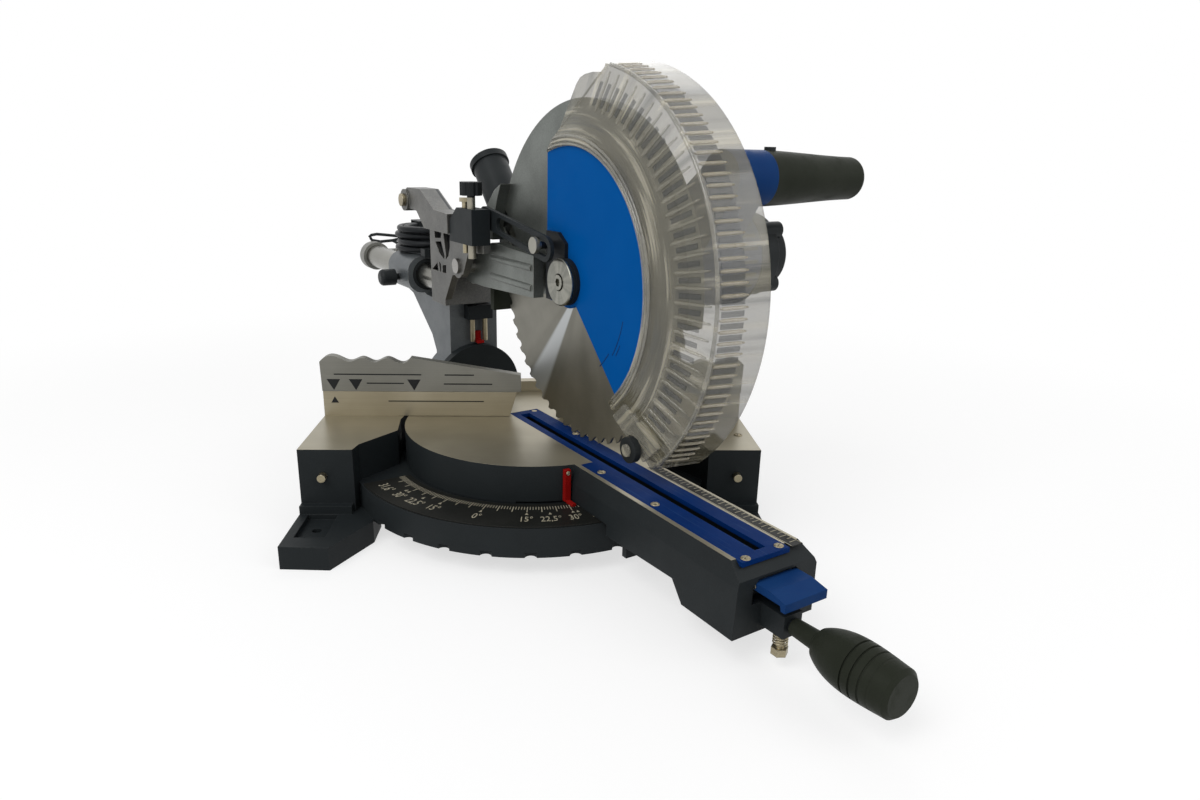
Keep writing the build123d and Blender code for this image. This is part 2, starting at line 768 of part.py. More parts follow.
# Bevel column: hub, leaning body and the housing that the rails run through
with BuildPart() as bevel_column:
    disc_along(0, 0, column_hub_radius, column_back, column_front)
    body = [
        (column_front, 0), (column_front, 101), (housing_front + 8, rail_height - housing_half_height - 1.5),
        (housing_front, rail_height - housing_half_height), (housing_front, rail_height),
        (housing_back, rail_height), (housing_back, rail_height - housing_half_height),
        (housing_back + 30, rail_height - housing_half_height - 6), (column_back - 12, 56),
        (column_back, 38), (column_back, 0),
    ]
    slab_across(body, -column_half, column_half)
    with BuildSketch(cross(housing_back)):
        with Locations((0, rail_height)):
            RectangleRounded(2 * housing_half_width, 2 * housing_half_height, housing_half_height - 4)
    extrude(amount=housing_front - housing_back)
    disc_along(0, 0, bevel_shaft_radius + pin_gap, column_back, column_front, Mode.SUBTRACT)
    for n in (-rail_spacing / 2, rail_spacing / 2):
        disc_along(n, rail_height, rail_radius + bush_wall, housing_back, housing_front, Mode.SUBTRACT)
    disc_across(
        (housing_front + housing_back) / 2, rail_height - 6, 4 + pin_gap,
        -housing_half_width - 1, -rail_spacing / 2, Mode.SUBTRACT,
    )
save(bevel_column, "bevel_column")

with BuildPart() as rail_bushes:
    for n in (-rail_spacing / 2, rail_spacing / 2):
        for u in (housing_back, housing_front - bush_length):
            with BuildSketch(cross(u)):
                with Locations((n, rail_height)):
                    Circle(rail_radius + bush_wall)
                    Circle(rail_radius + pin_gap, mode=Mode.SUBTRACT)
            extrude(amount=bush_length)
save(rail_bushes, "rail_bushes")

stop_low = hub_radius + 31.0
with BuildPart() as bevel_stop_block:
    box(column_front, column_front + 14, -12, 18, stop_low, stop_low + 16)
    for n in (-5, 11):
        disc_up(column_front + 7, n, 3.0 + pin_gap, stop_low, stop_low + 10, Mode.SUBTRACT)
save(bevel_stop_block, "bevel_stop_block")

with BuildPart() as bevel_stop_bolts:
    for n in (-5, 11):
        disc_up(column_front + 7, n, 3.0, hub_radius + 4, stop_low + 10)
save(bevel_stop_bolts, "bevel_stop_bolts")

with BuildPart() as bevel_pointer:
    box(column_front, column_front + 13, -1, 7, hub_radius + 2, hub_radius + 5)
    box(column_front, column_front + 4, -1, 7, hub_radius + 2, hub_radius + 15)
save(bevel_pointer, "bevel_pointer")

# Slide lock knob on the housing's left
slide_lock_u = (housing_front + housing_back) / 2
slide_lock_z = rail_height - 6.0
with BuildPart() as slide_lock_knob:
    disc_across(
        slide_lock_u, slide_lock_z, 4, -housing_half_width - 8, -rail_spacing / 2 - rail_radius - 0.5,
    )
    disc_across(slide_lock_u, slide_lock_z, 10, -housing_half_width - 24, -housing_half_width - 5)
    fillet(slide_lock_knob.edges().filter_by(GeomType.CIRCLE).sort_by(Axis((0, 0, 0), tuple(-right)))[-1], 5)
save(slide_lock_knob, "slide_lock_knob")

# Rails, their rear cap and the carrier with its hinge lugs and horn
with BuildPart() as slide_rails:
    for n in (-rail_spacing / 2, rail_spacing / 2):
        with BuildSketch(cross(rail_rear)):
            with Locations((n, rail_height)):
                Circle(rail_radius)
                Circle(rail_radius - 2.5, mode=Mode.SUBTRACT)
        extrude(amount=carrier_front - 4 - rail_rear)
save(slide_rails, "slide_rails")

with BuildPart() as rail_end_cap:
    for n in (-rail_spacing / 2, rail_spacing / 2):
        disc_along(n, rail_height, rail_radius + 4, rail_rear - 8, rail_rear + 8)
    box(rail_rear - 6, rail_rear + 6, -rail_spacing / 2, rail_spacing / 2, rail_height - 8, rail_height + 8)
    for n in (-rail_spacing / 2, rail_spacing / 2):
        disc_along(n, rail_height, rail_radius, rail_rear, rail_rear + 9, Mode.SUBTRACT)
save(rail_end_cap, "rail_end_cap")

lug_hub = 13.0
tower_top = link_pivot_z - 27.0
horn_low = chop_z + 35.0
horn_end = link_pivot_u - 37.5
lug_pockets = [
    [(-147, 186), (-146, 178.5), (-129, 180), (-127, 186)],
    [(-145, 174.5), (-128.5, 176.5), (-120, 161.5), (-121.5, 157.5), (-135, 163.5)],
    [(-122, 186), (-120.5, 180), (-116.5, 163), (-117.5, 157.5), (-109.5, 162.5), (-105, 172.5), (-104, 186)],
    [(-141, 152), (-157, 142.5), (-138.5, 142.5)],
    [(-137, 154), (-135, 142.5), (-131, 142.5), (-131, 151.5)],
    [(-127, 150.5), (-127, 142.5), (-117, 142.5), (-116.5, 152)],
]
with BuildPart() as carrier_casting:
    box(carrier_back, carrier_front, -lug_inner - lug_thick, lug_inner + lug_thick, 106, 146)
    left_lug = [
        (carrier_back, 110), (carrier_front - 2, 110), (chop_u - 14, chop_z - 12), (chop_u + 14, chop_z - 7),
        (chop_u + 28, chop_z + 17), (link_pivot_u + 18, tower_top - 8), (link_pivot_u + 18, tower_top),
        (horn_end, tower_top), (horn_end, horn_low + 4), (carrier_back, horn_low + 4),
    ]
    slab_across(left_lug, -lug_inner - lug_thick, -lug_inner)
    right_lug = [
        (carrier_back, 110), (carrier_front - 2, 110), (chop_u - 14, chop_z - 12), (chop_u, chop_z - lug_hub),
        (chop_u, chop_z + lug_hub), (carrier_back, 146),
    ]
    slab_across(right_lug, lug_inner, lug_inner + lug_thick)
    for n in (-lug_inner - lug_thick, lug_inner):
        disc_across(chop_u, chop_z, lug_hub, n, n + lug_thick)
        disc_across(chop_u, chop_z, chop_pin_radius, n, n + lug_thick, Mode.SUBTRACT)
    horn = [
        (horn_end, horn_low), (horn_end, horn_low + 20), (chop_u - 27, chop_z + 57),
        (chop_u - 64, chop_z + 76),
        (chop_u - 102, chop_z + 76), (chop_u - 118, chop_z + 68), (chop_u - 118, chop_z + 56),
        (chop_u - 104, chop_z + 54), (chop_u - 76, chop_z + 52), (chop_u - 55, horn_low),
    ]
    slab_across(horn, -lug_inner - lug_thick - 14, -lug_inner)
    disc_across(chop_u - 108, chop_z + 62, 12, -lug_inner - lug_thick - 16, -lug_inner)
    for n in (-rail_spacing / 2, rail_spacing / 2):
        disc_along(n, rail_height, rail_radius, carrier_back, carrier_front - 4, Mode.SUBTRACT)
    for pocket in lug_pockets:
        slab_across(pocket, -lug_inner - lug_thick - 1, -lug_inner - 3, Mode.SUBTRACT)
save(carrier_casting, "carrier_casting")

with BuildPart() as chop_pivot_pin:
    disc_across(chop_u, chop_z, chop_pin_radius, -lug_inner - lug_thick - 3, lug_inner + lug_thick + 3)
save(chop_pivot_pin, "chop_pivot_pin")

# Stop block on the left lug: depth screw, stop bolt and the guard link's rear pivot
block_out = -lug_inner - lug_thick - 12.0
depth_u = link_pivot_u + 4.0
depth_n = -lug_inner - lug_thick - 5.5
stop_bolt_u = link_pivot_u - 11.0
block_top = link_pivot_z + 8.0
with BuildPart() as stop_block:
    block = [
        (link_pivot_u - 36, tower_top), (link_pivot_u + 18, tower_top), (link_pivot_u + 18, block_top),
        (link_pivot_u - 18, block_top), (link_pivot_u - 36, block_top - 14),
    ]
    slab_across(block, block_out, -lug_inner)
    disc_up(depth_u, depth_n, 4 + pin_gap, tower_top, block_top, Mode.SUBTRACT)
    disc_up(stop_bolt_u, depth_n, 3 + pin_gap, tower_top, block_top, Mode.SUBTRACT)
    disc_across(link_pivot_u, link_pivot_z, 4 + pin_gap, -lug_inner - lug_thick, -lug_inner, Mode.SUBTRACT)
save(stop_block, "stop_block")

with BuildPart() as carrier_screws:
    disc_across(
        link_pivot_u, link_pivot_z, 4, -lug_inner - lug_thick, link_side,
    )
    disc_across(chop_u - 108, chop_z + 62, 7, -lug_inner - lug_thick - 20, -lug_inner - lug_thick - 16)
    disc_up(stop_bolt_u, depth_n, 3, tower_top - 10, block_top + 6)
    with BuildSketch(level(block_top + 6)):
        with Locations((stop_bolt_u, depth_n)):
            RegularPolygon(5.5, 6)
    extrude(amount=4)
save(carrier_screws, "carrier_screws")

with BuildPart() as depth_stop_screw:
    disc_up(depth_u, depth_n, 4, tower_top - 14, block_top + 14)
    disc_up(depth_u, depth_n, 11, block_top + 13, block_top + 26)
    for i in range(8):
        angle = radians(45 * i)
        disc_up(
            depth_u + 13 * cos(angle), depth_n + 13 * sin(angle), 3,
            block_top + 13, block_top + 26, Mode.SUBTRACT,
        )
save(depth_stop_screw, "depth_stop_screw")

# Head: hinged arms, upper blade guard, hub boss for the moving guard, gearbox and chute
arm_inner = 3.0
guard_right = 8.0
gearbox_end = motor_start
gearbox_discs = [(spindle_u, spindle_z, 42), (motor_u, motor_z, motor_radius)]
gearbox_hollow = [(spindle_u, spindle_z, 36), (motor_u, motor_z, 36)]
bearing_radius = 17.4
shell_floor = chop_z - 9.0
port_root = Vector(-56, 206, 0)
port_dir = Vector(-52, 56, 0).normalized()
port_end = 76.0
port_seat = 20.0
port_n = 3.0
seat_centre = port_root + port_dir * port_seat
seat_edge = Vector(port_dir.Y, -port_dir.X, 0) * (port_radius + 2)
seat_back = seat_centre - seat_edge
seat_top = seat_centre + seat_edge

with BuildPart() as head_casting:
    left_arm = [
        (chop_u - 6, chop_z + 18), (-36, 184), (50, 181), (50, 141), (-58, 136), (chop_u - 2, chop_z - 19),
    ]
    slab_across(left_arm, -arm_side, -arm_inner)
    slab_across(left_arm, guard_right, arm_side + 1)
    disc_across(chop_u, chop_z, 20, -arm_side, arm_side + 1)
    box(chop_u - 16, chop_u + 24, -arm_side, arm_side + 1, chop_z - 19, chop_z + 18)
    box(chop_u + 25, 50, -arm_inner - 0.5, guard_right, 0, 400, Mode.SUBTRACT)
    for z in (150, 169):
        disc_along(2 - arm_side, z, 4, -40, 46)
    hull_across(gearbox_discs, guard_right, gearbox_end)
    with BuildSketch(side(guard_right + 2.5)) as shell_face:
        with Locations((spindle_u, spindle_z)):
            Circle(upper_guard_radius)
        with Locations((spindle_u, shell_floor - 200)):
            Rectangle(600, 400, mode=Mode.SUBTRACT)
    extrude(amount=guard_right + 2.5 + arm_inner + sheet)
    disc_across(spindle_u, spindle_z, hub_boss_radius + 3, -arm_inner - sheet, -arm_inner)
    disc_across(spindle_u, spindle_z, upper_guard_radius - sheet, -arm_inner, guard_right, Mode.SUBTRACT)
    chute = [
        (-76, 184), (seat_back.X, seat_back.Y), (seat_top.X, seat_top.Y), (-18, 252),
        (0, 240), (0, 200), (-40, 184),
    ]
    slab_across(chute, port_n - port_radius - 1, port_n + port_radius + 1)
    disc_across(spindle_u, spindle_z, upper_guard_radius - sheet, -arm_inner, guard_right, Mode.SUBTRACT)
    disc_across(
        spindle_u, spindle_z, upper_guard_radius - 3, port_n - port_radius - 2, -arm_inner - sheet,
        Mode.SUBTRACT,
    )
    disc_across(spindle_u, spindle_z, hub_boss_radius, plate_side - 4.2, -arm_inner)
    disc_across(spindle_u, spindle_z, hub_bore, -arm_side - 10, guard_right, Mode.SUBTRACT)
    hull_across(gearbox_hollow, guard_right + 6, gearbox_end, Mode.SUBTRACT)
    disc_across(spindle_u, spindle_z, bearing_radius, guard_right - 1, guard_right + 7, Mode.SUBTRACT)
    disc_across(chop_u, chop_z, chop_pin_radius + pin_gap, -arm_side - 1, arm_side + 2, Mode.SUBTRACT)
    port_plane = Plane(
        origin=forward * port_root.X + up * (table_height + port_root.Y) + right * port_n,
        x_dir=right,
        z_dir=forward * port_dir.X + up * port_dir.Y,
    )
    with BuildSketch(port_plane.offset(-30)):
        Rectangle(2 * guard_right, 2 * guard_right)
    extrude(amount=31 + port_seat, mode=Mode.SUBTRACT)
save(head_casting, "head_casting")

with BuildPart() as dust_port:
    with BuildSketch(port_plane.offset(port_seat)):
        Circle(port_radius)
        Circle(port_radius - port_wall, mode=Mode.SUBTRACT)
    extrude(amount=port_end - port_seat)
    with BuildSketch(port_plane.offset(port_end - 7)):
        Circle(port_radius + 2)
        Circle(port_radius - port_wall, mode=Mode.SUBTRACT)
    extrude(amount=7)
save(dust_port, "dust_port")

flap_front = spindle_u - blade_radius - 5.5
with BuildPart() as dust_flap:
    box(flap_front - 8, flap_front, -14, 14, chop_z - 47, chop_z - 19)
save(dust_flap, "dust_flap")

with BuildPart() as guard_retainer:
    disc_across(spindle_u, spindle_z, hub_boss_radius + 3, plate_side - 6.4, plate_side - 4.2)
    disc_across(spindle_u, spindle_z, hub_bore, plate_side - 7, plate_side - 4, Mode.SUBTRACT)
save(guard_retainer, "guard_retainer")

# Motor housing with the neck and the root of the handle
flange_end = motor_start + 8.0
with BuildPart() as motor_housing:
    hull_across(gearbox_discs, motor_start, flange_end)
    disc_across(motor_u, motor_z, motor_radius, motor_start, motor_end)
    hull_across([(motor_u, motor_z, 38), (handle_u, handle_z, 21)], flange_end + 8, 102)
    disc_across(handle_u, handle_z, handle_root_radius, flange_end + 8, handle_start)
    disc_across(motor_u, motor_z, motor_radius - motor_wall, flange_end, motor_end, Mode.SUBTRACT)
    disc_across(motor_u, motor_z, 13, motor_start, flange_end, Mode.SUBTRACT)
    disc_across(spindle_u, spindle_z, bearing_radius, motor_start, motor_start + 6, Mode.SUBTRACT)
save(motor_housing, "motor_housing")

cap_seat = 172.0
with BuildPart() as motor_end_cap:
    disc_across(motor_u, motor_z, 40, motor_end, cap_seat)
    disc_across(motor_u, motor_z, 31, cap_seat, cap_end)
    for i in range(4):
        angle = radians(45 + 90 * i)
        disc_across(motor_u + 36 * cos(angle), motor_z + 36 * sin(angle), 8, motor_end, cap_seat + 9)
    disc_across(motor_u, motor_z, 34, motor_end, cap_seat - 4, Mode.SUBTRACT)
    disc_across(motor_u, motor_z, 11, cap_seat - 5, cap_seat + 8, Mode.SUBTRACT)
save(motor_end_cap, "motor_end_cap")

core_start = 84.0
core_end = motor_end - 22.0
with BuildPart() as field_stator:
    disc_across(motor_u, motor_z, motor_radius - motor_wall, core_start, core_end)
    disc_across(motor_u, motor_z, 22, core_start, core_end, Mode.SUBTRACT)
save(field_stator, "field_stator")

with BuildPart() as bearings:
    rings = [
        (spindle_u, spindle_z, bearing_radius, spindle_radius, guard_right, guard_right + 6),
        (spindle_u, spindle_z, bearing_radius, spindle_radius, motor_start, motor_start + 6),
        (motor_u, motor_z, 13, motor_shaft_radius, motor_start, flange_end),
        (motor_u, motor_z, 11, motor_shaft_radius, cap_seat, cap_seat + 8),
    ]
    for u, z, outer, inner, n_from, n_to in rings:
        with BuildSketch(side(n_to)):
            with Locations((u, z)):
                Circle(outer)
                Circle(inner + pin_gap, mode=Mode.SUBTRACT)
        extrude(amount=n_to - n_from)
save(bearings, "bearings")

with BuildPart() as armature:
    disc_across(motor_u, motor_z, motor_shaft_radius, guard_right + 10, cap_seat + 7)
    disc_across(motor_u, motor_z, motor_pulley_radius, guard_right + 12, guard_right + 26)
    disc_across(motor_u, motor_z, 36, flange_end + 4, flange_end + 16)
    disc_across(motor_u, motor_z, 21, core_start, core_end)
    disc_across(motor_u, motor_z, 14, core_end + 4, motor_end - 4)
    for i in range(10):
        angle = radians(36 * i)
        disc_across(
            motor_u + 29 * cos(angle), motor_z + 29 * sin(angle), 6, flange_end + 4, flange_end + 13,
            Mode.SUBTRACT,
        )
save(armature, "armature")

with BuildPart() as drive_belt:
    belt_gap = 2 * pin_gap
    belt_outer = [
        (spindle_u, spindle_z, spindle_pulley_radius + belt_gap + belt_thick),
        (motor_u, motor_z, motor_pulley_radius + belt_gap + belt_thick),
    ]
    belt_inner = [
        (spindle_u, spindle_z, spindle_pulley_radius + belt_gap),
        (motor_u, motor_z, motor_pulley_radius + belt_gap),
    ]
    hull_across(belt_outer, guard_right + 13, guard_right + 25)
    hull_across(belt_inner, guard_right + 13, guard_right + 25, Mode.SUBTRACT)
save(drive_belt, "drive_belt")

# Handle grip with its trigger and lock-off button
trigger_from = 128.0
trigger_to = 166.0
trigger_half = 8.0
button_n = 120.0
button_radius = 5.0
with BuildPart() as handle_grip:
    handle_plane = Plane(
        origin=forward * handle_u + up * (table_height + handle_z), x_dir=right, z_dir=-forward,
    )
    with BuildSketch(handle_plane):
        with BuildLine():
            Polyline((handle_end - 8, 0), (handle_start, 0), (handle_start, handle_root_radius))
            Spline(
                (handle_start, handle_root_radius), (150, handle_root_radius - 1.5),
                (200, handle_end_radius + 0.5), (handle_end - 8, handle_end_radius),
            )
            Line((handle_end - 8, handle_end_radius), (handle_end - 8, 0))
        make_face()
    revolve(axis=Axis(tuple(handle_plane.origin), tuple(right)))
    disc_across(handle_u, handle_z, handle_end_radius, handle_end - 8, handle_end)
    tips = handle_grip.edges().filter_by(GeomType.CIRCLE).sort_by(Axis((0, 0, 0), tuple(right)))
    fillet(tips[-1], 6)
    box(
        handle_u - 30, handle_u - 7, trigger_from, trigger_to,
        handle_z - trigger_half, handle_z + trigger_half, Mode.SUBTRACT,
    )
    disc_up(handle_u, button_n, button_radius + run_gap, handle_z + 5, handle_z + 40, Mode.SUBTRACT)
save(handle_grip, "handle_grip")

with BuildPart() as trigger:
    finger = [
        (handle_u - 14, trigger_from + 0.5), (handle_u - 14, trigger_to - 0.5),
        (handle_u - 24, trigger_to - 0.5), (handle_u - 29, trigger_to - 8),
        (handle_u - 27, trigger_from + 16), (handle_u - 29, trigger_from + 6),
        (handle_u - 26, trigger_from + 0.5),
    ]
    slab_up(finger, handle_z - trigger_half + 0.5, handle_z + trigger_half - 0.5)
save(trigger, "trigger")

with BuildPart() as lock_off_button:
    disc_up(handle_u, button_n, button_radius, handle_z + 9, handle_z + 26)
save(lock_off_button, "lock_off_button")

# Blade with hooked teeth, its flanges and the driven spindle
half_blade = blade_thick / 2
with BuildPart() as saw_blade:
    tooth_step = 2 * pi / tooth_count
    rim = []
    for i in range(tooth_count):
        start = i * tooth_step
        rim.append((blade_radius, start))
        rim.append((blade_radius - 1.0, start + 0.30 * tooth_step))
        rim.append((blade_radius - tooth_depth + 1, start + 0.62 * tooth_step))
        rim.append((blade_radius - tooth_depth, start + 0.84 * tooth_step))
        rim.append((blade_radius - tooth_depth + 1.5, start + 0.97 * tooth_step))
    points = [(spindle_u + r * cos(a), spindle_z + r * sin(a)) for r, a in rim]
    slab_across(points, -half_blade, half_blade)
    disc_across(spindle_u, spindle_z, blade_bore, -half_blade, half_blade, Mode.SUBTRACT)
save(saw_blade, "saw_blade")

inner_flange_end = guard_right - 0.8
with BuildPart() as blade_flanges:
    disc_across(spindle_u, spindle_z, flange_radius, half_blade, inner_flange_end)
    disc_across(spindle_u, spindle_z, blade_bore - pin_gap, -half_blade, half_blade)
    disc_across(spindle_u, spindle_z, flange_neck, cap_face, -half_blade)
    disc_across(spindle_u, spindle_z, flange_cap_radius, cap_face, cap_face + flange_cap_thick)
    rim_edges = blade_flanges.edges().filter_by(GeomType.CIRCLE).sort_by(Axis((0, 0, 0), tuple(-right)))
    fillet(rim_edges[-1], 1.8)
    disc_across(spindle_u, spindle_z, spindle_radius + pin_gap, -8, inner_flange_end, Mode.SUBTRACT)
    disc_across(spindle_u, spindle_z, 4 + pin_gap, cap_face, -8, Mode.SUBTRACT)
    disc_across(spindle_u, spindle_z, 8, cap_face, cap_face + 5, Mode.SUBTRACT)
save(blade_flanges, "blade_flanges")

with BuildPart() as arbor_bolt:
    disc_across(spindle_u, spindle_z, 4, cap_face + 5, -8)
    disc_across(spindle_u, spindle_z, 7, cap_face - 1, cap_face + 5)
    with BuildSketch(side(cap_face + 3)):
        with Locations((spindle_u, spindle_z)):
            RegularPolygon(4, 6)
    extrude(amount=6, mode=Mode.SUBTRACT)
save(arbor_bolt, "arbor_bolt")

with BuildPart() as spindle:
    disc_across(spindle_u, spindle_z, spindle_radius, -8, motor_start + 6)
    disc_across(spindle_u, spindle_z, spindle_pulley_radius, guard_right + 12, guard_right + 26)
save(spindle, "spindle")

# Moving guard: blue plate, clear cheek and rim, crank with the link's pin, tip roller
plate_out = plate_side
plate_in = plate_side + plate_thick
hub_clear = hub_boss_radius + run_gap
with BuildPart() as guard_plate:
    with BuildSketch(side(plate_in)):
        with BuildLine():
            Polyline(
                (plate_left, 198), (plate_left, 320), (260, 320), (260, -12), (102, 147),
                (62, 140), (62, 198), close=True,
            )
        make_face()
        with Locations((spindle_u, spindle_z)):
            Circle(plate_radius, mode=Mode.INTERSECT)
            Circle(hub_clear + 6)
            Circle(hub_clear, mode=Mode.SUBTRACT)
    extrude(amount=plate_thick)
save(guard_plate, "guard_plate")

with BuildPart() as guard_crank:
    crank = [(60, 142), (60, 205), (80, 205), (93, 196), (93, 142)]
    slab_across(crank, plate_out - 3.9, plate_out)
    disc_across(spindle_u, spindle_z, hub_clear + 3, plate_out - 3.9, plate_out)
    disc_across(link_pin_u, link_pin_z, 12, plate_out - 3.9, plate_out)
    disc_across(spindle_u, spindle_z, hub_clear, plate_out - 5, plate_out + 1, Mode.SUBTRACT)
    disc_across(link_pin_u, link_pin_z, link_pin_radius, link_side - link_thick - 4, plate_out - 3)
    disc_across(
        link_pin_u, link_pin_z, 7.5, link_side - link_thick - 4.5, link_side - link_thick - 0.8,
    )
save(guard_crank, "guard_crank")

axle = forward * spindle_u + up * (table_height + spindle_z)
low_angle = radians(guard_low_angle)
low_ray = forward * cos(low_angle) + up * sin(low_angle)
with BuildPart() as clear_guard:
    with BuildSketch(Plane(origin=axle, x_dir=low_ray, z_dir=low_ray.cross(right))):
        with BuildLine():
            Polyline(
                (plate_radius, plate_out), (plate_radius + 1.8, plate_out - 2.2),
                (bead_radius - 1, plate_out - 2.2), (bead_radius + 1, plate_out - 1),
                (ridge_radius, -0.8), (rim_radius, rim_side), (rim_radius - guard_wall, rim_side),
                (ridge_radius - guard_wall, 1.4), (bead_radius, plate_out + 1.8), (plate_radius, plate_in),
                close=True,
            )
        make_face()
    revolve(axis=Axis(tuple(axle), tuple(-right)), revolution_arc=185)
    rear_cut = [
        (-200, 100), (plate_left, 100), (plate_left, 274), (122, 343), (122, 420), (-200, 420),
    ]
    slab_across(rear_cut, -60, 80, Mode.SUBTRACT)
    box(0, 400, -60, 80, -80, guard_floor, Mode.SUBTRACT)
save(clear_guard, "clear_guard")

roller_angle = radians(guard_low_angle)
roller_out = 165.0
roller_u = spindle_u + roller_out * cos(roller_angle)
roller_z = spindle_z + roller_out * sin(roller_angle)
roller_n = -11.0
roller_long = 6.0
cheek_slope = (plate_out - 1 + 0.8) / (ridge_radius - bead_radius - 1)


def cheek_side(radius):
    return -0.8 + cheek_slope * (ridge_radius - radius)


patch_in = 132.0
patch_out = 178.0
patch_thick = 3.2
with BuildPart() as roller_bracket:
    with BuildSketch(Plane(origin=axle, x_dir=low_ray, z_dir=low_ray.cross(right))):
        with BuildLine():
            Polyline(
                (patch_in, cheek_side(patch_in)), (patch_out, cheek_side(patch_out)),
                (patch_out, cheek_side(patch_out) - patch_thick),
                (patch_in, cheek_side(patch_in) - patch_thick), close=True,
            )
        make_face()
    revolve(axis=Axis(tuple(axle), tuple(-right)), revolution_arc=9)
    box(0, 400, -60, 80, -80, guard_floor, Mode.SUBTRACT)
    disc_across(roller_u, roller_z, roller_radius + 1, roller_n - 30, roller_n + run_gap, Mode.SUBTRACT)
    disc_across(roller_u, roller_z, 6, roller_n + run_gap, cheek_side(roller_out) - 1)
    disc_across(roller_u, roller_z, 3, roller_n - roller_long - 2, roller_n + 3)
    disc_across(roller_u, roller_z, 5.5, roller_n - roller_long - 2.5, roller_n - roller_long - 0.5)
    with BuildSketch(Plane(origin=axle, x_dir=low_ray, z_dir=low_ray.cross(right))):
        with BuildLine():
            Polyline(
                (patch_in - 8, cheek_side(patch_in - 8)), (patch_out + 8, cheek_side(patch_out + 8)),
                (patch_out + 8, 40), (patch_in - 8, 40), close=True,
            )
        make_face()
    revolve(axis=Axis(tuple(axle), tuple(-right)), revolution_arc=20, mode=Mode.SUBTRACT)
save(roller_bracket, "roller_bracket")

with BuildPart() as guard_roller:
    disc_across(roller_u, roller_z, roller_radius, roller_n - roller_long, roller_n)
    disc_across(roller_u, roller_z, 3 + pin_gap, roller_n - roller_long, roller_n, Mode.SUBTRACT)
save(guard_roller, "guard_roller")

link_reach = hypot(link_pin_u - link_pivot_u, link_pin_z - link_pivot_z)
link_dir = ((link_pin_u - link_pivot_u) / link_reach, (link_pin_z - link_pivot_z) / link_reach)


def on_link(distance):
    return (link_pivot_u + distance * link_dir[0], link_pivot_z + distance * link_dir[1])


slot_near = 34.0
slot_far = 124.0
link_half = 11.5
with BuildPart() as guard_link:
    hull_across(
        [(*on_link(0), link_half - 1.5), (*on_link(slot_far), link_half)], link_side - link_thick, link_side,
    )
    hull_across(
        [(*on_link(slot_near), link_slot_half), (*on_link(slot_far), link_slot_half)],
        link_side - link_thick, link_side, Mode.SUBTRACT,
    )
    disc_across(*on_link(0), 4 + pin_gap, link_side - link_thick, link_side, Mode.SUBTRACT)
save(guard_link, "guard_link")

# Mains cord: gland on the housing, four piled layers of two turns, a tail and its plug
housing_top = rail_height + housing_half_height
coil_outer = coil_inner + 2 * coil_pitch
coil_frame = Plane(
    origin=forward * coil_u + up * (table_height + housing_top + coil_lift + cord_radius),
    x_dir=forward, z_dir=up,
)


def at_coil(x, y, z):
    return coil_frame.from_local_coords((x, y, z))


with BuildPart() as cord_coil:
    with BuildLine() as cord_path:
        Line(at_coil(coil_outer, -lead_length, 0), at_coil(coil_outer, 0, 0))
        middle = coil_outer - coil_pitch
        flat_half_turn(coil_frame, coil_outer, -coil_outer, 0)
        for height in (0, 2 * coil_pitch):
            flat_half_turn(coil_frame, -coil_outer, middle, height)
            flat_half_turn(coil_frame, middle, -middle, height)
            flat_half_turn(coil_frame, -middle, coil_inner, height)
            climbing_half_turn(coil_frame, coil_inner, height, coil_pitch)
            flat_half_turn(coil_frame, -coil_inner, middle, height + coil_pitch)
            flat_half_turn(coil_frame, middle, -middle, height + coil_pitch)
            flat_half_turn(coil_frame, -middle, coil_outer, height + coil_pitch)
            if height == 0:
                climbing_half_turn(coil_frame, coil_outer, coil_pitch, coil_pitch)
        top = 3 * coil_pitch
        Line(at_coil(coil_outer, 0, top), at_coil(coil_outer, tail_length, top))
        bend = tail_bend * (1 - sqrt(0.5))
        ThreePointArc(
            at_coil(coil_outer, tail_length, top),
            at_coil(coil_outer, tail_length + tail_bend * sqrt(0.5), top - bend),
            at_coil(coil_outer, tail_length + tail_bend, top - tail_bend),
        )
        Line(
            at_coil(coil_outer, tail_length + tail_bend, top - tail_bend),
            at_coil(coil_outer, tail_length + tail_bend, top - tail_bend - tail_drop),
        )
    with BuildSketch(Plane(origin=cord_path.line @ 0, z_dir=cord_path.line % 0)):
        Circle(cord_radius)
    sweep()
print("cord gap to itself", round(gap_to_itself(cord_path.line, cord_radius), 3))
print("cord length", round(sum(edge.length for edge in cord_path.line.edges())))
print("spring gap to itself", round(gap_to_itself(spring_path.line, spring_wire / 2), 3))
save(cord_coil, "cord_coil")

gland_u = coil_u + coil_outer
cord_z = housing_top + coil_lift + cord_radius
plug_top = cord_z + 3 * coil_pitch - tail_bend - tail_drop
plug_n = tail_length + tail_bend
with BuildPart() as cord_plug:
    with BuildSketch(level(plug_top - plug_length)):
        with Locations((gland_u, plug_n)):
            Circle(plug_radius)
    with BuildSketch(level(plug_top)):
        with Locations((gland_u, plug_n)):
            Circle(cord_radius + 3)
    loft()
    for u in (gland_u - 9.5, gland_u + 9.5):
        disc_up(u, plug_n, 2.4, plug_top - plug_length - 19, plug_top - plug_length)
save(cord_plug, "cord_plug")

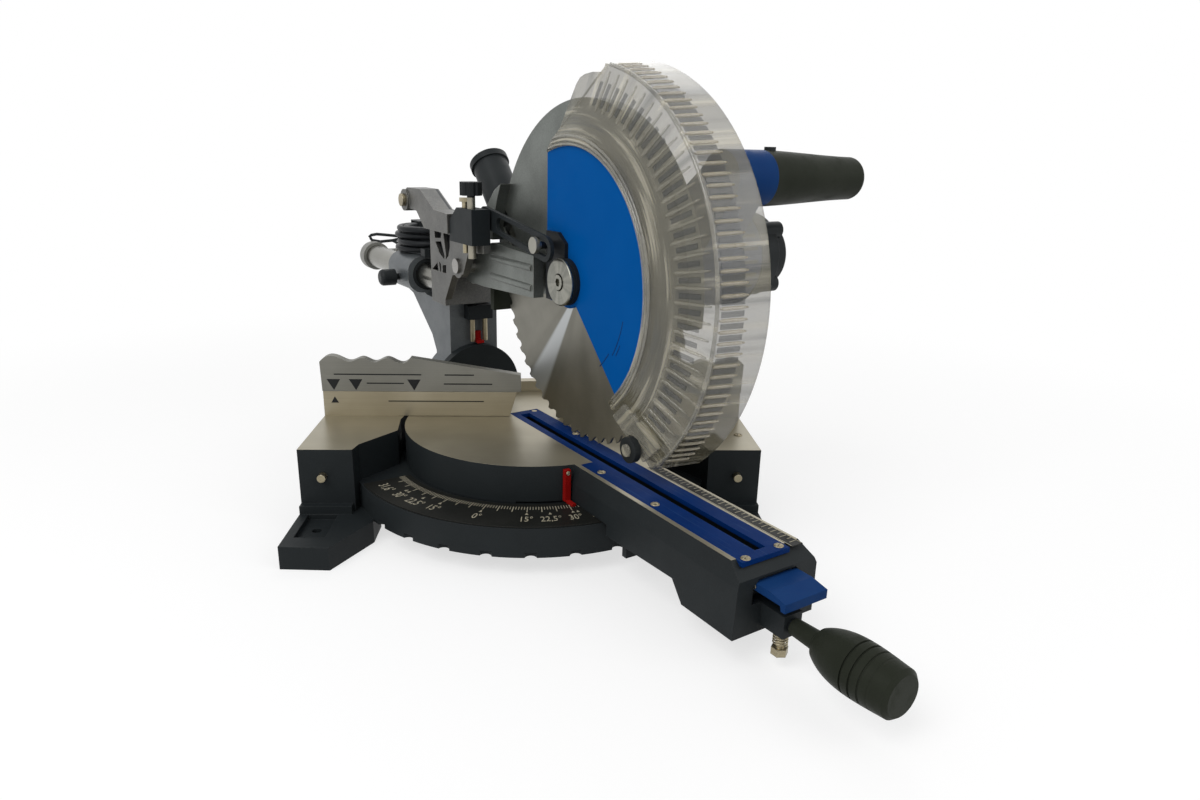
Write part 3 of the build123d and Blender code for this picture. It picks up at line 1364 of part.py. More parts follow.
tie_wide = 16.0
tie_thick = 1.5
tie_inner = coil_inner - cord_radius - 1.6
tie_outer = coil_outer + cord_radius + 0.8
tie_low = housing_top + coil_lift - 0.5
tie_high = cord_z + 3 * coil_pitch + cord_radius + 0.6
with BuildPart() as cord_holders:
    box(
        gland_u - 6.5, gland_u + 6.5, -lead_length - 14, -lead_length,
        housing_top, cord_z + cord_radius + 0.2,
    )
    box(
        coil_u - tie_outer - tie_thick, coil_u - tie_inner + tie_thick, -tie_wide / 2, tie_wide / 2,
        tie_low - tie_thick, tie_high + tie_thick,
    )
    box(coil_u - tie_outer, coil_u - tie_inner, -tie_wide, tie_wide, tie_low, tie_high, Mode.SUBTRACT)
save(cord_holders, "cord_holders")
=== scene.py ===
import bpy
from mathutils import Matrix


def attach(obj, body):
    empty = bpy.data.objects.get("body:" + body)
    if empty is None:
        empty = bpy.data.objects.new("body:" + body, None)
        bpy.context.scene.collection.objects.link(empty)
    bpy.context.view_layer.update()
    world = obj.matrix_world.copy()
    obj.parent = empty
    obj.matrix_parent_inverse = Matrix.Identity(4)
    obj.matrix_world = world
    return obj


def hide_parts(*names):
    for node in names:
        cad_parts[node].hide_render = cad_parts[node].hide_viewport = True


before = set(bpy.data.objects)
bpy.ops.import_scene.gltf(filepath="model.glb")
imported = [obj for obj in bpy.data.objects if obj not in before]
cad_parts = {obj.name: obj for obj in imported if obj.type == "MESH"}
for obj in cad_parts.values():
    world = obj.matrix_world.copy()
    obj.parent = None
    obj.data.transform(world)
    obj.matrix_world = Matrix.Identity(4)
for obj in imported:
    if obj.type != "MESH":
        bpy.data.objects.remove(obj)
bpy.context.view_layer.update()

import math
import bpy
import bmesh
from mathutils import Matrix, Vector

scene = bpy.context.scene
mm = 0.001
inkThick = 0.12  # printed lines and figures, millimetres
arm = {"mitre": 30.0, "tableTop": 0.085}  # the arm's turn at rest, degrees, and the table's height
turn = math.radians(arm["mitre"])
forward = Vector((math.sin(turn), -math.cos(turn), 0))
right = Vector((math.cos(turn), math.sin(turn), 0))
across = Vector((1, 0, 0))
up = Vector((0, 0, 1))


def armPoint(u, n, z):  # millimetres along the arm, to its right and above the table
    return (forward * u + right * n) * mm + up * (arm["tableTop"] + z * mm)


# camera where the photograph was taken
view = {"place": (0.015513, -0.833712, 0.364929), "yaw": 0.0644991621, "pitch": 0.299288099,
        "roll": 0.0240708606, "lens": 24.635, "sensor": 36, "nearest": 0.01}


def placeCamera():
    look = Vector((math.sin(view["yaw"]) * math.cos(view["pitch"]),
                   math.cos(view["yaw"]) * math.cos(view["pitch"]), -math.sin(view["pitch"])))
    level = Vector((math.cos(view["yaw"]), -math.sin(view["yaw"]), 0))
    lift = level.cross(look)
    side = level * math.cos(view["roll"]) + lift * math.sin(view["roll"])
    top = lift * math.cos(view["roll"]) - level * math.sin(view["roll"])
    cameraData = bpy.data.cameras.new("camera")
    cameraData.sensor_fit = "HORIZONTAL"
    cameraData.sensor_width = view["sensor"]
    cameraData.lens = view["lens"]
    cameraData.clip_start = view["nearest"]
    camera = bpy.data.objects.new("camera", cameraData)
    turned = Matrix((side, top, -look)).transposed().to_4x4()
    turned.translation = Vector(view["place"])
    camera.matrix_world = turned
    scene.collection.objects.link(camera)
    scene.camera = camera


placeCamera()
print("camera placed")

finishes = {}  # each finish by its name


class Wire:  # a socket that can be used in sums
    def __init__(self, finish, socket):
        self.finish = finish
        self.socket = socket

    def math(self, operation, first, second=0.0):
        return self.finish.node("ShaderNodeMath", {"operation": operation}, {0: first, 1: second})

    def __add__(self, other):
        return self.math("ADD", self, other)

    def __radd__(self, other):
        return self.math("ADD", other, self)

    def __sub__(self, other):
        return self.math("SUBTRACT", self, other)

    def __rsub__(self, other):
        return self.math("SUBTRACT", other, self)

    def __mul__(self, other):
        return self.math("MULTIPLY", self, other)

    def __rmul__(self, other):
        return self.math("MULTIPLY", other, self)

    def __truediv__(self, other):
        return self.math("DIVIDE", self, other)

    def __rtruediv__(self, other):
        return self.math("DIVIDE", other, self)

    def __pow__(self, other):
        return self.math("POWER", self, other)

    def __rpow__(self, other):
        return self.math("POWER", other, self)

    def __gt__(self, other):
        return self.math("GREATER_THAN", self, other)

    def __lt__(self, other):
        return self.math("LESS_THAN", self, other)


class Finish:  # the nodes of one material, or of the world
    def __init__(self, name, owner=None):
        self.name = name
        self.owner = owner or bpy.data.materials.new(name)
        self.owner.use_nodes = True
        self.tree = self.owner.node_tree
        self.tree.nodes.clear()

    def node(self, kind, settings=None, sockets=None, out=0):
        made = self.tree.nodes.new(kind)
        for key, value in (settings or {}).items():
            setattr(made, key, value)
        for key, value in (sockets or {}).items():
            if isinstance(value, Wire):
                self.tree.links.new(value.socket, made.inputs[key])
            else:
                made.inputs[key].default_value = value
        return Wire(self, made.outputs[out]) if made.outputs else None

    def place(self):  # the piece's own coordinates, metres
        return self.node("ShaderNodeTexCoord", out="Object")

    def facing(self):  # the surface's direction in the piece's own space
        return self.node("ShaderNodeTexCoord", out="Normal")

    def along(self, vector, direction):
        return self.node("ShaderNodeVectorMath", {"operation": "DOT_PRODUCT"},
                         {0: vector, 1: tuple(direction)}, out="Value")

    def joined(self, x, y, z):
        return self.node("ShaderNodeCombineXYZ", None, {"X": x, "Y": y, "Z": z})

    def noise(self, vector, scale, detail):
        return self.node("ShaderNodeTexNoise", None, {"Vector": vector, "Scale": scale, "Detail": detail},
                         out="Fac")

    def grain(self, size, detail=3.0):  # specks of about this many millimetres
        return self.noise(self.place(), 1 / (size * mm), detail)

    def lines(self, direction, length, width):  # fine lines drawn out along a direction
        place = self.place()
        first = Vector(direction).normalized()
        second = first.cross(Vector((0.3, 0.2, 0.93))).normalized()
        third = first.cross(second)
        drawn = self.joined(self.along(place, first) / (length * mm), self.along(place, second) / (width * mm),
                            self.along(place, third) / (width * mm))
        return self.noise(drawn, 1.0, 4.0)

    def around(self, centre, axis):  # two offsets from an axis and the distance from it
        offset = self.node("ShaderNodeVectorMath", {"operation": "SUBTRACT"},
                           {0: self.place(), 1: tuple(centre)})
        first = axis.orthogonal().normalized()
        x = self.along(offset, first)
        y = self.along(offset, axis.cross(first))
        return x, y, (x ** 2.0 + y ** 2.0) ** 0.5

    def between(self, amount, low, high):  # a value from low to high
        return amount * (high - low) + low

    def step(self, value, low, high):  # 0 below low, 1 above high, smooth between
        return self.node("ShaderNodeMapRange", {"interpolation_type": "SMOOTHSTEP"},
                         {"Value": value, "From Min": low, "From Max": high})

    def blend(self, amount, first, second):
        return self.node("ShaderNodeMix", {"data_type": "RGBA"}, {0: amount, 6: first, 7: second}, out=2)

    def edge(self, radius):  # rounds hard edges in the shading
        return self.node("ShaderNodeBevel", {"samples": 4}, {"Radius": radius * mm})

    def sharpEdges(self, radius):  # about 1 on sharp edges
        plain = self.node("ShaderNodeNewGeometry", out="Normal")
        same = self.node("ShaderNodeVectorMath", {"operation": "DOT_PRODUCT"},
                         {0: self.edge(radius), 1: plain}, out="Value")
        return self.step(1 - same, 0.02, 0.25)

    def relief(self, height, depth, edge=0.6):
        return self.node("ShaderNodeBump", None,
                         {"Height": height, "Distance": depth * mm, "Normal": self.edge(edge)})

    def seen(self):  # 1 for rays that show the background, also in gloss and through clear plastic
        kinds = ("Is Camera Ray", "Is Glossy Ray", "Is Transmission Ray")
        straight, glossy, through = (self.node("ShaderNodeLightPath", out=kind) for kind in kinds)
        return straight.math("MAXIMUM", straight + glossy, through)

    def shade(self, **sockets):
        names = {"colour": "Base Color", "rough": "Roughness", "metal": "Metallic", "normal": "Normal",
                 "alpha": "Alpha", "ior": "IOR", "specular": "Specular IOR Level"}
        surface = self.node("ShaderNodeBsdfPrincipled", None,
                            {names[key]: value for key, value in sockets.items()})
        self.node("ShaderNodeOutputMaterial", None, {"Surface": surface})
        finishes[self.name] = self.owner


def tone(red, green, blue):
    return (red, green, blue, 1.0)


# black powder coat, and the bare tops of the base and the turntable
powder = {"dark": tone(0.009, 0.011, 0.012), "light": tone(0.021, 0.026, 0.028), "worn": tone(0.06, 0.063, 0.065),
          "grain": 1.1, "clouds": 45, "chips": 7, "chipEdge": 0.7, "patches": 18, "rough": (0.42, 0.6),
          "depth": 0.08, "specular": 0.14}
bareTop = {"dark": tone(0.290, 0.262, 0.192), "light": tone(0.400, 0.368, 0.285), "rough": (0.26, 0.40),
           "above": 0.0845, "level": (0.8, 0.9), "line": (160, 0.35), "clouds": 90, "metal": 0.75}


def powderFinish(name, machined=False):
    f = Finish(name)
    pebble = f.grain(powder["grain"], 2)
    colour = f.blend(f.grain(powder["clouds"]) * 0.6 + pebble * 0.4, powder["dark"], powder["light"])
    chipped = f.sharpEdges(powder["chipEdge"]) * f.grain(powder["chips"]) * 0.8
    colour = f.blend(chipped, colour, powder["worn"])
    rough = f.between(f.grain(powder["patches"], 4), *powder["rough"])
    height = pebble
    metal = 0.0
    if machined:
        top = f.step(f.along(f.facing(), up), *bareTop["level"])
        bare = top * (f.along(f.place(), up) > bareTop["above"])
        lines = f.lines(across, *bareTop["line"])
        brushed = f.step(lines * 0.3 + f.grain(bareTop["clouds"]) * 0.7, 0.32, 0.68)
        colour = f.blend(bare, colour, f.blend(brushed, bareTop["dark"], bareTop["light"]))
        rough = rough * (1 - bare) + f.between(lines, *bareTop["rough"]) * bare
        height = pebble * (1 - bare) + lines * bare * 0.2
        metal = bare * bareTop["metal"]
    f.shade(colour=colour, rough=rough, metal=metal, normal=f.relief(height, powder["depth"]),
            specular=powder["specular"])


powderFinish("basePowder", True)
powderFinish("tablePowder", True)
powderFinish("blackPowder")

# castings, and painted shade in the pockets of the carrier's side
castWearAndHighlight = tone(0.36, 0.35, 0.31)
pocketShade = {"n": (-42.0, -39.5), "u": (-158.5, -102), "above": 226.5, "colour": tone(0.012, 0.015, 0.019)}


def inShadedPockets(f):
    place = f.place()
    n = f.along(place, right)
    u = f.along(place, forward)
    left, deep = (edge * mm for edge in pocketShade["n"])
    back, front = (edge * mm for edge in pocketShade["u"])
    return (n > left) * (n < deep) * (u > back) * (u < front) * (f.along(place, up) > pocketShade["above"] * mm)


def castFinish(name, light, dark, metal, rough=(0.34, 0.5), grain=1.6, depth=0.1, shadedPockets=False):
    f = Finish(name)
    pebble = f.grain(grain)
    colour = f.blend(f.step(f.grain(30, 4) * 0.55 + pebble * 0.45, 0.3, 0.7), dark, light)
    # lighter on sharp edges: partly wear, partly a painted edge highlight
    colour = f.blend(f.sharpEdges(0.8) * 0.6, colour, castWearAndHighlight)
    if shadedPockets:
        # painted shade in the carrier's pockets
        colour = f.blend(inShadedPockets(f) * 0.9, colour, pocketShade["colour"])
    f.shade(colour=colour, rough=f.between(f.grain(9, 4), *rough), metal=metal,
            normal=f.relief(pebble, depth, 0.8))


castFinish("columnPaint", tone(0.130, 0.142, 0.148), tone(0.088, 0.100, 0.108), 0.35, (0.34, 0.5), 1.2, 0.06)
castFinish("carrierCast", tone(0.150, 0.148, 0.138), tone(0.085, 0.086, 0.083), 0.7, shadedPockets=True)
castFinish("headCast", tone(0.190, 0.205, 0.190), tone(0.125, 0.135, 0.125), 0.7, (0.32, 0.48), 1.4, 0.07)
castFinish("capGrey", tone(0.300, 0.300, 0.275), tone(0.200, 0.200, 0.185), 0.4, (0.35, 0.5), 1.2, 0.05)
castFinish("zinc", tone(0.42, 0.37, 0.25), tone(0.22, 0.185, 0.12), 0.9, (0.26, 0.42), 0.9, 0.03)

# metal brushed along one direction
brushLine = (140, 0.4)  # length and width of a stroke


def brushedFinish(name, light, dark, direction, metal, rough=(0.3, 0.46)):
    f = Finish(name)
    lines = f.lines(direction, *brushLine)
    colour = f.blend(f.step(lines * 0.35 + f.grain(70) * 0.65, 0.32, 0.68), dark, light)
    f.shade(colour=colour, rough=f.between(lines, *rough), metal=metal, normal=f.relief(lines, 0.03, 0.5))


brushedFinish("fenceMachined", tone(0.370, 0.330, 0.240), tone(0.285, 0.250, 0.175), across, 0.65)
brushedFinish("fenceCast", tone(0.230, 0.226, 0.198), tone(0.175, 0.172, 0.150), across, 0.6, (0.38, 0.54))
brushedFinish("steel", tone(0.36, 0.35, 0.33), tone(0.22, 0.21, 0.20), right, 1.0, (0.2, 0.36))
brushedFinish("railChrome", tone(0.250, 0.246, 0.218), tone(0.170, 0.167, 0.146), forward, 1.0, (0.16, 0.3))
brushedFinish("copper", tone(0.42, 0.19, 0.10), tone(0.22, 0.10, 0.05), right, 0.9)


def plasticFinish(name, colour, pale, rough, grain, depth, specular=0.12):  # moulded or painted
    f = Finish(name)
    rubbed = f.sharpEdges(0.9) * f.grain(6)
    shown = f.blend(f.step(f.grain(40), 0.3, 0.75) * 0.35 + rubbed * 0.6, colour, pale)
    scuff = f.step(f.grain(12, 5), 0.5, 0.75)
    f.shade(colour=shown, rough=f.between(scuff, *rough), normal=f.relief(f.grain(grain, 2), depth, 0.8),
            specular=specular)


plasticFinish("scalePlate", tone(0.013, 0.0135, 0.012), tone(0.028, 0.028, 0.025), (0.38, 0.55), 0.9, 0.03, 0.1)
plasticFinish("bluePlate", tone(0.0003, 0.094, 0.365), tone(0.003, 0.110, 0.40), (0.28, 0.42), 0.7, 0.02, 0.012)
plasticFinish("blueDeep", tone(0.008, 0.040, 0.150), tone(0.016, 0.066, 0.20), (0.36, 0.52), 0.8, 0.05, 0.03)
plasticFinish("blackPlastic", tone(0.017, 0.020, 0.021), tone(0.042, 0.046, 0.048), (0.4, 0.56), 0.9, 0.06)
plasticFinish("gripRubber", tone(0.019, 0.022, 0.015), tone(0.040, 0.044, 0.034), (0.44, 0.6), 1.3, 0.14, 0.06)
plasticFinish("redPaint", tone(0.30, 0.007, 0.006), tone(0.42, 0.02, 0.015), (0.3, 0.45), 0.6, 0.02, 0.06)
plasticFinish("cream", tone(0.46, 0.42, 0.31), tone(0.60, 0.56, 0.44), (0.45, 0.6), 0.5, 0.01)
plasticFinish("fenceInk", tone(0.016, 0.017, 0.018), tone(0.04, 0.04, 0.04), (0.5, 0.65), 0.5, 0.01)
plasticFinish("cordRubber", tone(0.015, 0.017, 0.019), tone(0.040, 0.042, 0.045), (0.36, 0.5), 0.7, 0.05)

# steel up to a plane across a direction, black past it
split = {"steelWorn": tone(0.3, 0.29, 0.26), "blackWorn": tone(0.06, 0.06, 0.06), "rough": (0.3, 0.5),
         "metal": 0.9, "specular": 0.14}


def splitFinish(name, direction, at, steel, black):
    f = Finish(name)
    past = f.along(f.place(), direction) > at * mm
    rubbed = f.sharpEdges(0.8) * f.grain(5) * 0.6
    colour = f.blend(past, f.blend(rubbed, steel, split["steelWorn"]), f.blend(rubbed, black, split["blackWorn"]))
    f.shade(colour=colour, rough=f.between(f.grain(8, 4), *split["rough"]), metal=(1 - past) * split["metal"],
            normal=f.relief(f.grain(1.2, 2), 0.05), specular=split["specular"])


splitFinish("depthScrew", up, 314, tone(0.33, 0.31, 0.25), tone(0.014, 0.016, 0.017))
splitFinish("crankPaint", right, -32.5, tone(0.33, 0.32, 0.28), tone(0.012, 0.014, 0.016))

# moulded blue strip with saw marks along and across it
insert = {"colour": tone(0.001, 0.022, 0.120), "pale": tone(0.003, 0.034, 0.17), "scored": tone(0.03, 0.085, 0.22),
          "score": (60, 0.7), "slant": (12, 0.8), "rough": (0.36, 0.55), "specular": 0.03}


def insertFinish(name):
    f = Finish(name)
    skin = f.grain(0.8, 2)
    score = f.step(f.lines(forward, *insert["score"]), 0.60, 0.72)
    slant = f.step(f.lines(forward + right * 0.8, *insert["slant"]), 0.63, 0.74) * f.step(f.grain(30), 0.5, 0.62)
    marks = score + slant
    shown = f.blend(f.step(f.grain(35), 0.3, 0.75) * 0.5, insert["colour"], insert["pale"])
    shown = f.blend(marks.math("MINIMUM", marks, 1.0) * 0.55, shown, insert["scored"])
    f.shade(colour=shown, rough=f.between(f.grain(10, 4), *insert["rough"]),
            normal=f.relief(skin - score, 0.06, 0.7), specular=insert["specular"])


insertFinish("insertBlue")

# steel turned about the spindle, with a painted sheen running out from its centre and a painted highlight along one
# line through its centre
spindle = armPoint(93, 0, 162)
# painted highlight along one line through the spindle: its direction, its width and its colour
glint = {"line": forward * -0.579 + up * -0.815, "width": (0.982, 0.994), "colour": tone(0.50, 0.52, 0.53)}


def turnedFinish(name, light, dark, rough, ring, paintedStreaks, glinting=False):
    f = Finish(name)
    x, y, radius = f.around(spindle, right)
    rings = f.noise(f.joined(radius / (ring * mm), 0.0, 0.0), 1.0, 3.0)
    sheen = f.noise(f.joined(x / radius, y / radius, 0.0), 2.4, 2.0)  # runs out from the centre: a painted sheen in the colour, and it varies the roughness
    shown = rings * (0.55 - paintedStreaks) + f.grain(35, 4) * 0.45 + f.step(sheen, 0.42, 0.62) * paintedStreaks
    colour = f.blend(f.step(shown, 0.25, 0.72), dark, light)
    # painted highlight along one line through the centre
    if glinting:
        first = right.orthogonal().normalized()
        line = (x * glint["line"].dot(first) + y * glint["line"].dot(right.cross(first))) / radius
        colour = f.blend(f.step(line ** 2.0, *glint["width"]) * 0.9, colour, glint["colour"])
    f.shade(colour=colour, metal=1.0, rough=f.between(rings * 0.7 + sheen * 0.3, *rough),
            normal=f.relief(rings, 0.03, 0.4))


turnedFinish("bladeSteel", tone(0.235, 0.228, 0.195), tone(0.160, 0.154, 0.130), (0.28, 0.42), 0.6, 0.15, True)
turnedFinish("flangeSteel", tone(0.31, 0.305, 0.265), tone(0.17, 0.172, 0.152), (0.24, 0.4), 1.4, 0.2)

# clear moulding, denser seen edge on, with painted rings of light on its smooth band, painted light rays outside it
# and painted dark streaks between them
clear = {"band": (0.146, 0.154), "paintedShade": tone(0.035, 0.038, 0.032), "paintedHighlight": tone(0.62, 0.575, 0.44), "ior": 1.6}


def clearFinish(name, tint, pale, thin, steep, rough=(0.04, 0.16), paintedStreaks=0.0):
    f = Finish(name)
    haze = f.grain(28, 4)
    x, y, radius = f.around(spindle, right)
    # rays and rings set where the painted highlights and painted shade fall, and also the bump
    rays = f.noise(f.joined(x / radius * 15.0, y / radius * 15.0, radius * 14.0), 1.0, 3.0)
    rings = f.noise(f.joined(x / radius * 1.6, y / radius * 1.6, radius * 240.0), 1.0, 2.0)
    outside = f.step(radius, *clear["band"])
    sweep = rings * (1 - outside) + rays * outside
    paintedHighlight = f.step(sweep, 0.52, 0.68) * paintedStreaks
    paintedShade = (1 - f.step(sweep, 0.32, 0.46)) * paintedStreaks
    slope = f.node("ShaderNodeLayerWeight", None, {"Blend": 0.35}, out="Facing")
    alpha = slope ** 2.0 * steep + paintedHighlight * 0.15 + paintedShade * 0.15 + thin
    colour = f.blend(paintedShade * 0.8, f.blend(haze, tint, pale), clear["paintedShade"])
    colour = f.blend(paintedHighlight, colour, clear["paintedHighlight"])
    f.shade(colour=colour, rough=f.between(f.grain(3, 4), *rough), alpha=alpha, ior=clear["ior"], specular=1.0,
            normal=f.relief(sweep, 0.3, 0.8))


clearFinish("clearShell", tone(0.150, 0.137, 0.090), tone(0.215, 0.198, 0.135), 0.44, 0.42, paintedStreaks=0.75)
# ribs paler than the shell: painted highlights along the ribs
clearFinish("clearRibPaintedHighlight", tone(0.33, 0.31, 0.24), tone(0.50, 0.47, 0.37), 0.28, 0.45)
clearFinish("rimRibPaintedHighlight", tone(0.44, 0.38, 0.26), tone(0.64, 0.57, 0.41), 0.42, 0.45)
# dark strips: painted shade between the ribs
clearFinish("clearPaintedShade", tone(0.018, 0.020, 0.016), tone(0.05, 0.052, 0.042), 0.32, 0.3)
clearFinish("clearBead", tone(0.20, 0.19, 0.16), tone(0.50, 0.48, 0.40), 0.46, 0.45, (0.03, 0.1), 0.8)

solidFinish = {
    "basePowder": ("base_casting",),
    "tablePowder": ("turntable_casting",),
    "blackPowder": ("bevel_hub", "rod_guide", "lock_rod", "bevel_stop_block", "stop_block", "guard_retainer",
                    "guard_link"),
    "scalePlate": ("mitre_scale", "arm_ruler"),
    "fenceMachined": ("fixed_fence",),
    "fenceCast": ("fence_slide_left", "fence_slide_right"),
    "columnPaint": ("bevel_column",),
    "carrierCast": ("carrier_casting",),
    "headCast": ("head_casting",),
    "capGrey": ("rail_end_cap",),
    "zinc": ("base_fasteners", "strap_spring", "arm_fasteners", "bevel_stop_bolts", "carrier_screws"),
    "steel": ("chop_pivot_pin", "field_stator", "bearings", "spindle"),
    "railChrome": ("slide_rails",),
    "copper": ("armature",),
    "bladeSteel": ("saw_blade",),
    "flangeSteel": ("blade_flanges", "arbor_bolt"),
    "bluePlate": ("guard_plate",),
    "blueDeep": ("detent_lever", "motor_housing"),
    "insertBlue": ("kerf_insert",),
    "redPaint": ("mitre_pointer", "bevel_pointer"),
    "blackPlastic": ("bevel_lever", "rail_bushes", "cord_holders", "cord_plug", "slide_lock_knob", "dust_port",
                     "motor_end_cap", "trigger", "lock_off_button", "guard_roller", "fence_knob_left",
                     "fence_knob_right"),
    "gripRubber": ("lock_grip", "dust_flap", "drive_belt", "handle_grip"),
    "depthScrew": ("depth_stop_screw",),
    "crankPaint": ("guard_crank",),
    "clearShell": ("clear_guard",),
    "clearBead": ("roller_bracket",),
}
for finishName, solids in solidFinish.items():
    for solid in solids:
        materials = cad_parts[solid].data.materials
        materials.clear()
        materials.append(finishes[finishName])
print("finishes on", sum(len(solids) for solids in solidFinish.values()), "solids")


def piece(name, body, finishName, build, smooth=False):  # one mesh made by build, riding on a body
    work = bmesh.new()
    build(work)
    bmesh.ops.recalc_face_normals(work, faces=work.faces)
    mesh = bpy.data.meshes.new(name)
    work.to_mesh(mesh)
    work.free()
    for face in mesh.polygons:
        face.use_smooth = smooth
    made = bpy.data.objects.new(name, mesh)
    scene.collection.objects.link(made)
    mesh.materials.append(finishes[finishName])
    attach(made, body)


def prism(work, outline, thick):  # a closed plate from an outline of points and an offset
    lower = [work.verts.new(point) for point in outline]
    upper = [work.verts.new(point + thick) for point in outline]
    work.faces.new(lower)
    work.faces.new(list(reversed(upper)))
    for i in range(len(outline)):
        j = (i + 1) % len(outline)
        work.faces.new((lower[i], upper[i], upper[j], lower[j]))


def bar(work, start, end, side, width, thick):  # a straight strip standing thick off its surface
    half = side.normalized() * (width * mm / 2)
    prism(work, [start - half, end - half, end + half, start + half], thick * mm)


def skin(work, rings, closed=False):  # faces between rings of points, with ends unless closed
    count = len(rings[0])
    for low, high in list(zip(rings, rings[1:])) + ([(rings[-1], rings[0])] if closed else []):
        for k in range(count):
            work.faces.new((low[k], low[(k + 1) % count], high[(k + 1) % count], high[k]))
    if not closed:
        work.faces.new(list(reversed(rings[0])))
        work.faces.new(rings[-1])


def tube(work, path, radius, sides=10, closed=False):  # round bar, its radius a number or one for each point
    rings = []
    last = len(path) - 1
    normal = (path[1] - path[0]).orthogonal().normalized()
    for i, point in enumerate(path):
        if closed:
            before, after = path[i - 1], path[(i + 1) % len(path)]
        else:
            before, after = path[max(i - 1, 0)], path[min(i + 1, last)]
        ahead = (after - before).normalized()
        normal = (normal - ahead * normal.dot(ahead)).normalized()
        other = ahead.cross(normal)
        size = (radius[i] if isinstance(radius, list) else radius) * mm
        turns = [2 * math.pi * k / sides for k in range(sides)]
        rings.append([work.verts.new(point + (normal * math.cos(angle) + other * math.sin(angle)) * size)
                      for angle in turns])
    skin(work, rings, closed)


# a low round screw head with a cross cut into it: size, lift and cut of each ring
screwHead = {"rings": ((1.0, -0.2, 0.0), (1.0, 0.3, 0.0), (0.86, 0.75, 0.0), (0.55, 1.0, 0.75), (0.16, 1.0, 0.75)),
             "sides": 24, "cut": (0, 1)}


def dome(work, centre, axis, radius, height):
    first = axis.orthogonal().normalized()
    second = axis.cross(first)
    sides = screwHead["sides"]
    rings = []
    for size, lift, notch in screwHead["rings"]:
        ring = []
        for k in range(sides):
            angle = 2 * math.pi * k / sides
            sunk = notch if k % (sides // 4) in screwHead["cut"] else 0.0
            outward = first * math.cos(angle) + second * math.sin(angle)
            ring.append(work.verts.new(centre + outward * radius * size * mm + axis * height * (lift - sunk) * mm))
        rings.append(ring)
    skin(work, rings)


def figure(work, text, centre, reading, away, size, narrow):  # a number lying on a surface
    data = bpy.data.curves.new("figure", "FONT")
    data.body = text
    data.size = size * mm
    data.extrude = inkThick / 2 * mm
    data.align_x = "CENTER"
    data.align_y = "CENTER"
    data.resolution_u = 3
    holder = bpy.data.objects.new("figure", data)
    scene.collection.objects.link(holder)
    flat = bpy.data.meshes.new_from_object(holder.evaluated_get(bpy.context.evaluated_depsgraph_get()))
    placed = Matrix((reading * narrow, away, reading.cross(away))).transposed().to_4x4()
    placed.translation = centre
    flat.transform(placed)
    work.from_mesh(flat)
    bpy.data.objects.remove(holder)
    bpy.data.curves.remove(data)
    bpy.data.meshes.remove(flat)


# mitre scale: each figure's mark, its own place and its text, all in degrees from zero
scale = {"zero": -16.5, "top": 49.5, "fine": (145, 151, 0.7), "five": (145, 156, 0.9), "degrees": (-44, 51),
         "figures": ((0, 0, "0°"), (15, 15, "15°"), (22.5, 22.5, "22,5°"), (30, 30, "30°"), (31.6, 38, "31,6°"),
                     (45, 45, "45°")),
         "figureRadius": 171, "size": 14.0, "narrow": 0.66, "left": -60, "right": 34,
         "marker": (157.4, 161.6, 0.55)}


def scalePoint(angle, radius):  # angle from the base's front, to the right
    outward = Vector((math.sin(math.radians(angle)), -math.cos(math.radians(angle)), 0))
    return outward * radius * mm + up * scale["top"] * mm


def buildScale(work):
    for degree in range(*scale["degrees"]):
        angle = scale["zero"] + degree
        if angle < scale["right"]:
            low, high, wide = scale["five"] if degree % 5 == 0 else scale["fine"]
            side = scalePoint(angle + 1, 100) - scalePoint(angle - 1, 100)
            bar(work, scalePoint(angle, low), scalePoint(angle, high), side, wide, up * inkThick)
    for mark, place, text in scale["figures"]:
        for sign in ((1, -1) if mark else (1,)):
            angle = scale["zero"] + sign * place
            if scale["left"] < angle < scale["right"]:
                away = (scalePoint(angle, 1) - scalePoint(angle, 2)).normalized()
                figure(work, text, scalePoint(angle, scale["figureRadius"]), away.cross(up), away, scale["size"],
                       scale["narrow"])
                tip, foot, half = scale["marker"]
                angle = scale["zero"] + sign * mark
                prism(work, [scalePoint(angle, tip), scalePoint(angle + half, foot),
                             scalePoint(angle - half, foot)], up * inkThick * mm)


piece("scale_marks", "base", "cream", buildScale)
print("scale marked")

# ruler on the arm
ruler = {"start": 176, "end": 349, "step": 5, "edge": 33.4, "short": 28.6, "long": 26.0, "width": 0.65,
         "borders": (23.1, 33.5), "borderEnds": (173, 351), "borderWidth": 0.6}


def buildRuler(work):
    for i, u in enumerate(range(ruler["start"], ruler["end"], ruler["step"])):
        inner = ruler["short"] if i % 2 else ruler["long"]
        bar(work, armPoint(u, inner, 0), armPoint(u, ruler["edge"], 0), forward, ruler["width"], up * inkThick)
    for n in ruler["borders"]:
        start, end = (armPoint(u, n, 0) for u in ruler["borderEnds"])
        bar(work, start, end, right, ruler["borderWidth"], up * inkThick)


piece("ruler_marks", "turntable", "cream", buildRuler)

# marks on the fences: lines as near end, far end and height, arrows as outlines about their place
fenceMarks = {"face": 10.4, "lineWidth": 1.3,
              "lines": ((119.4, 210, 130.8), (64.2, 95, 130.7), (137.9, 176.6, 121.2), (45.1, 96.1, 120.8)),
              "arrows": (127.3, 187.9, 210.8), "arrow": ((-7, 125.5), (7, 125.5), (0, 113.5)),
              "lowerLine": (54.3, 154.9, 101.6), "lowerWidth": 1.1, "lowerArrowAt": 210.6,
              "lowerArrow": ((-4, 99.6), (4, 99.6), (0, 106.6))}
fenceFront = Vector((0, -1, 0)) * inkThick


def fencePoint(x, z):
    return Vector((x, fenceMarks["face"], z)) * mm


def fenceArrow(work, x, outline):
    prism(work, [fencePoint(x + aside, z) for aside, z in outline], fenceFront * mm)


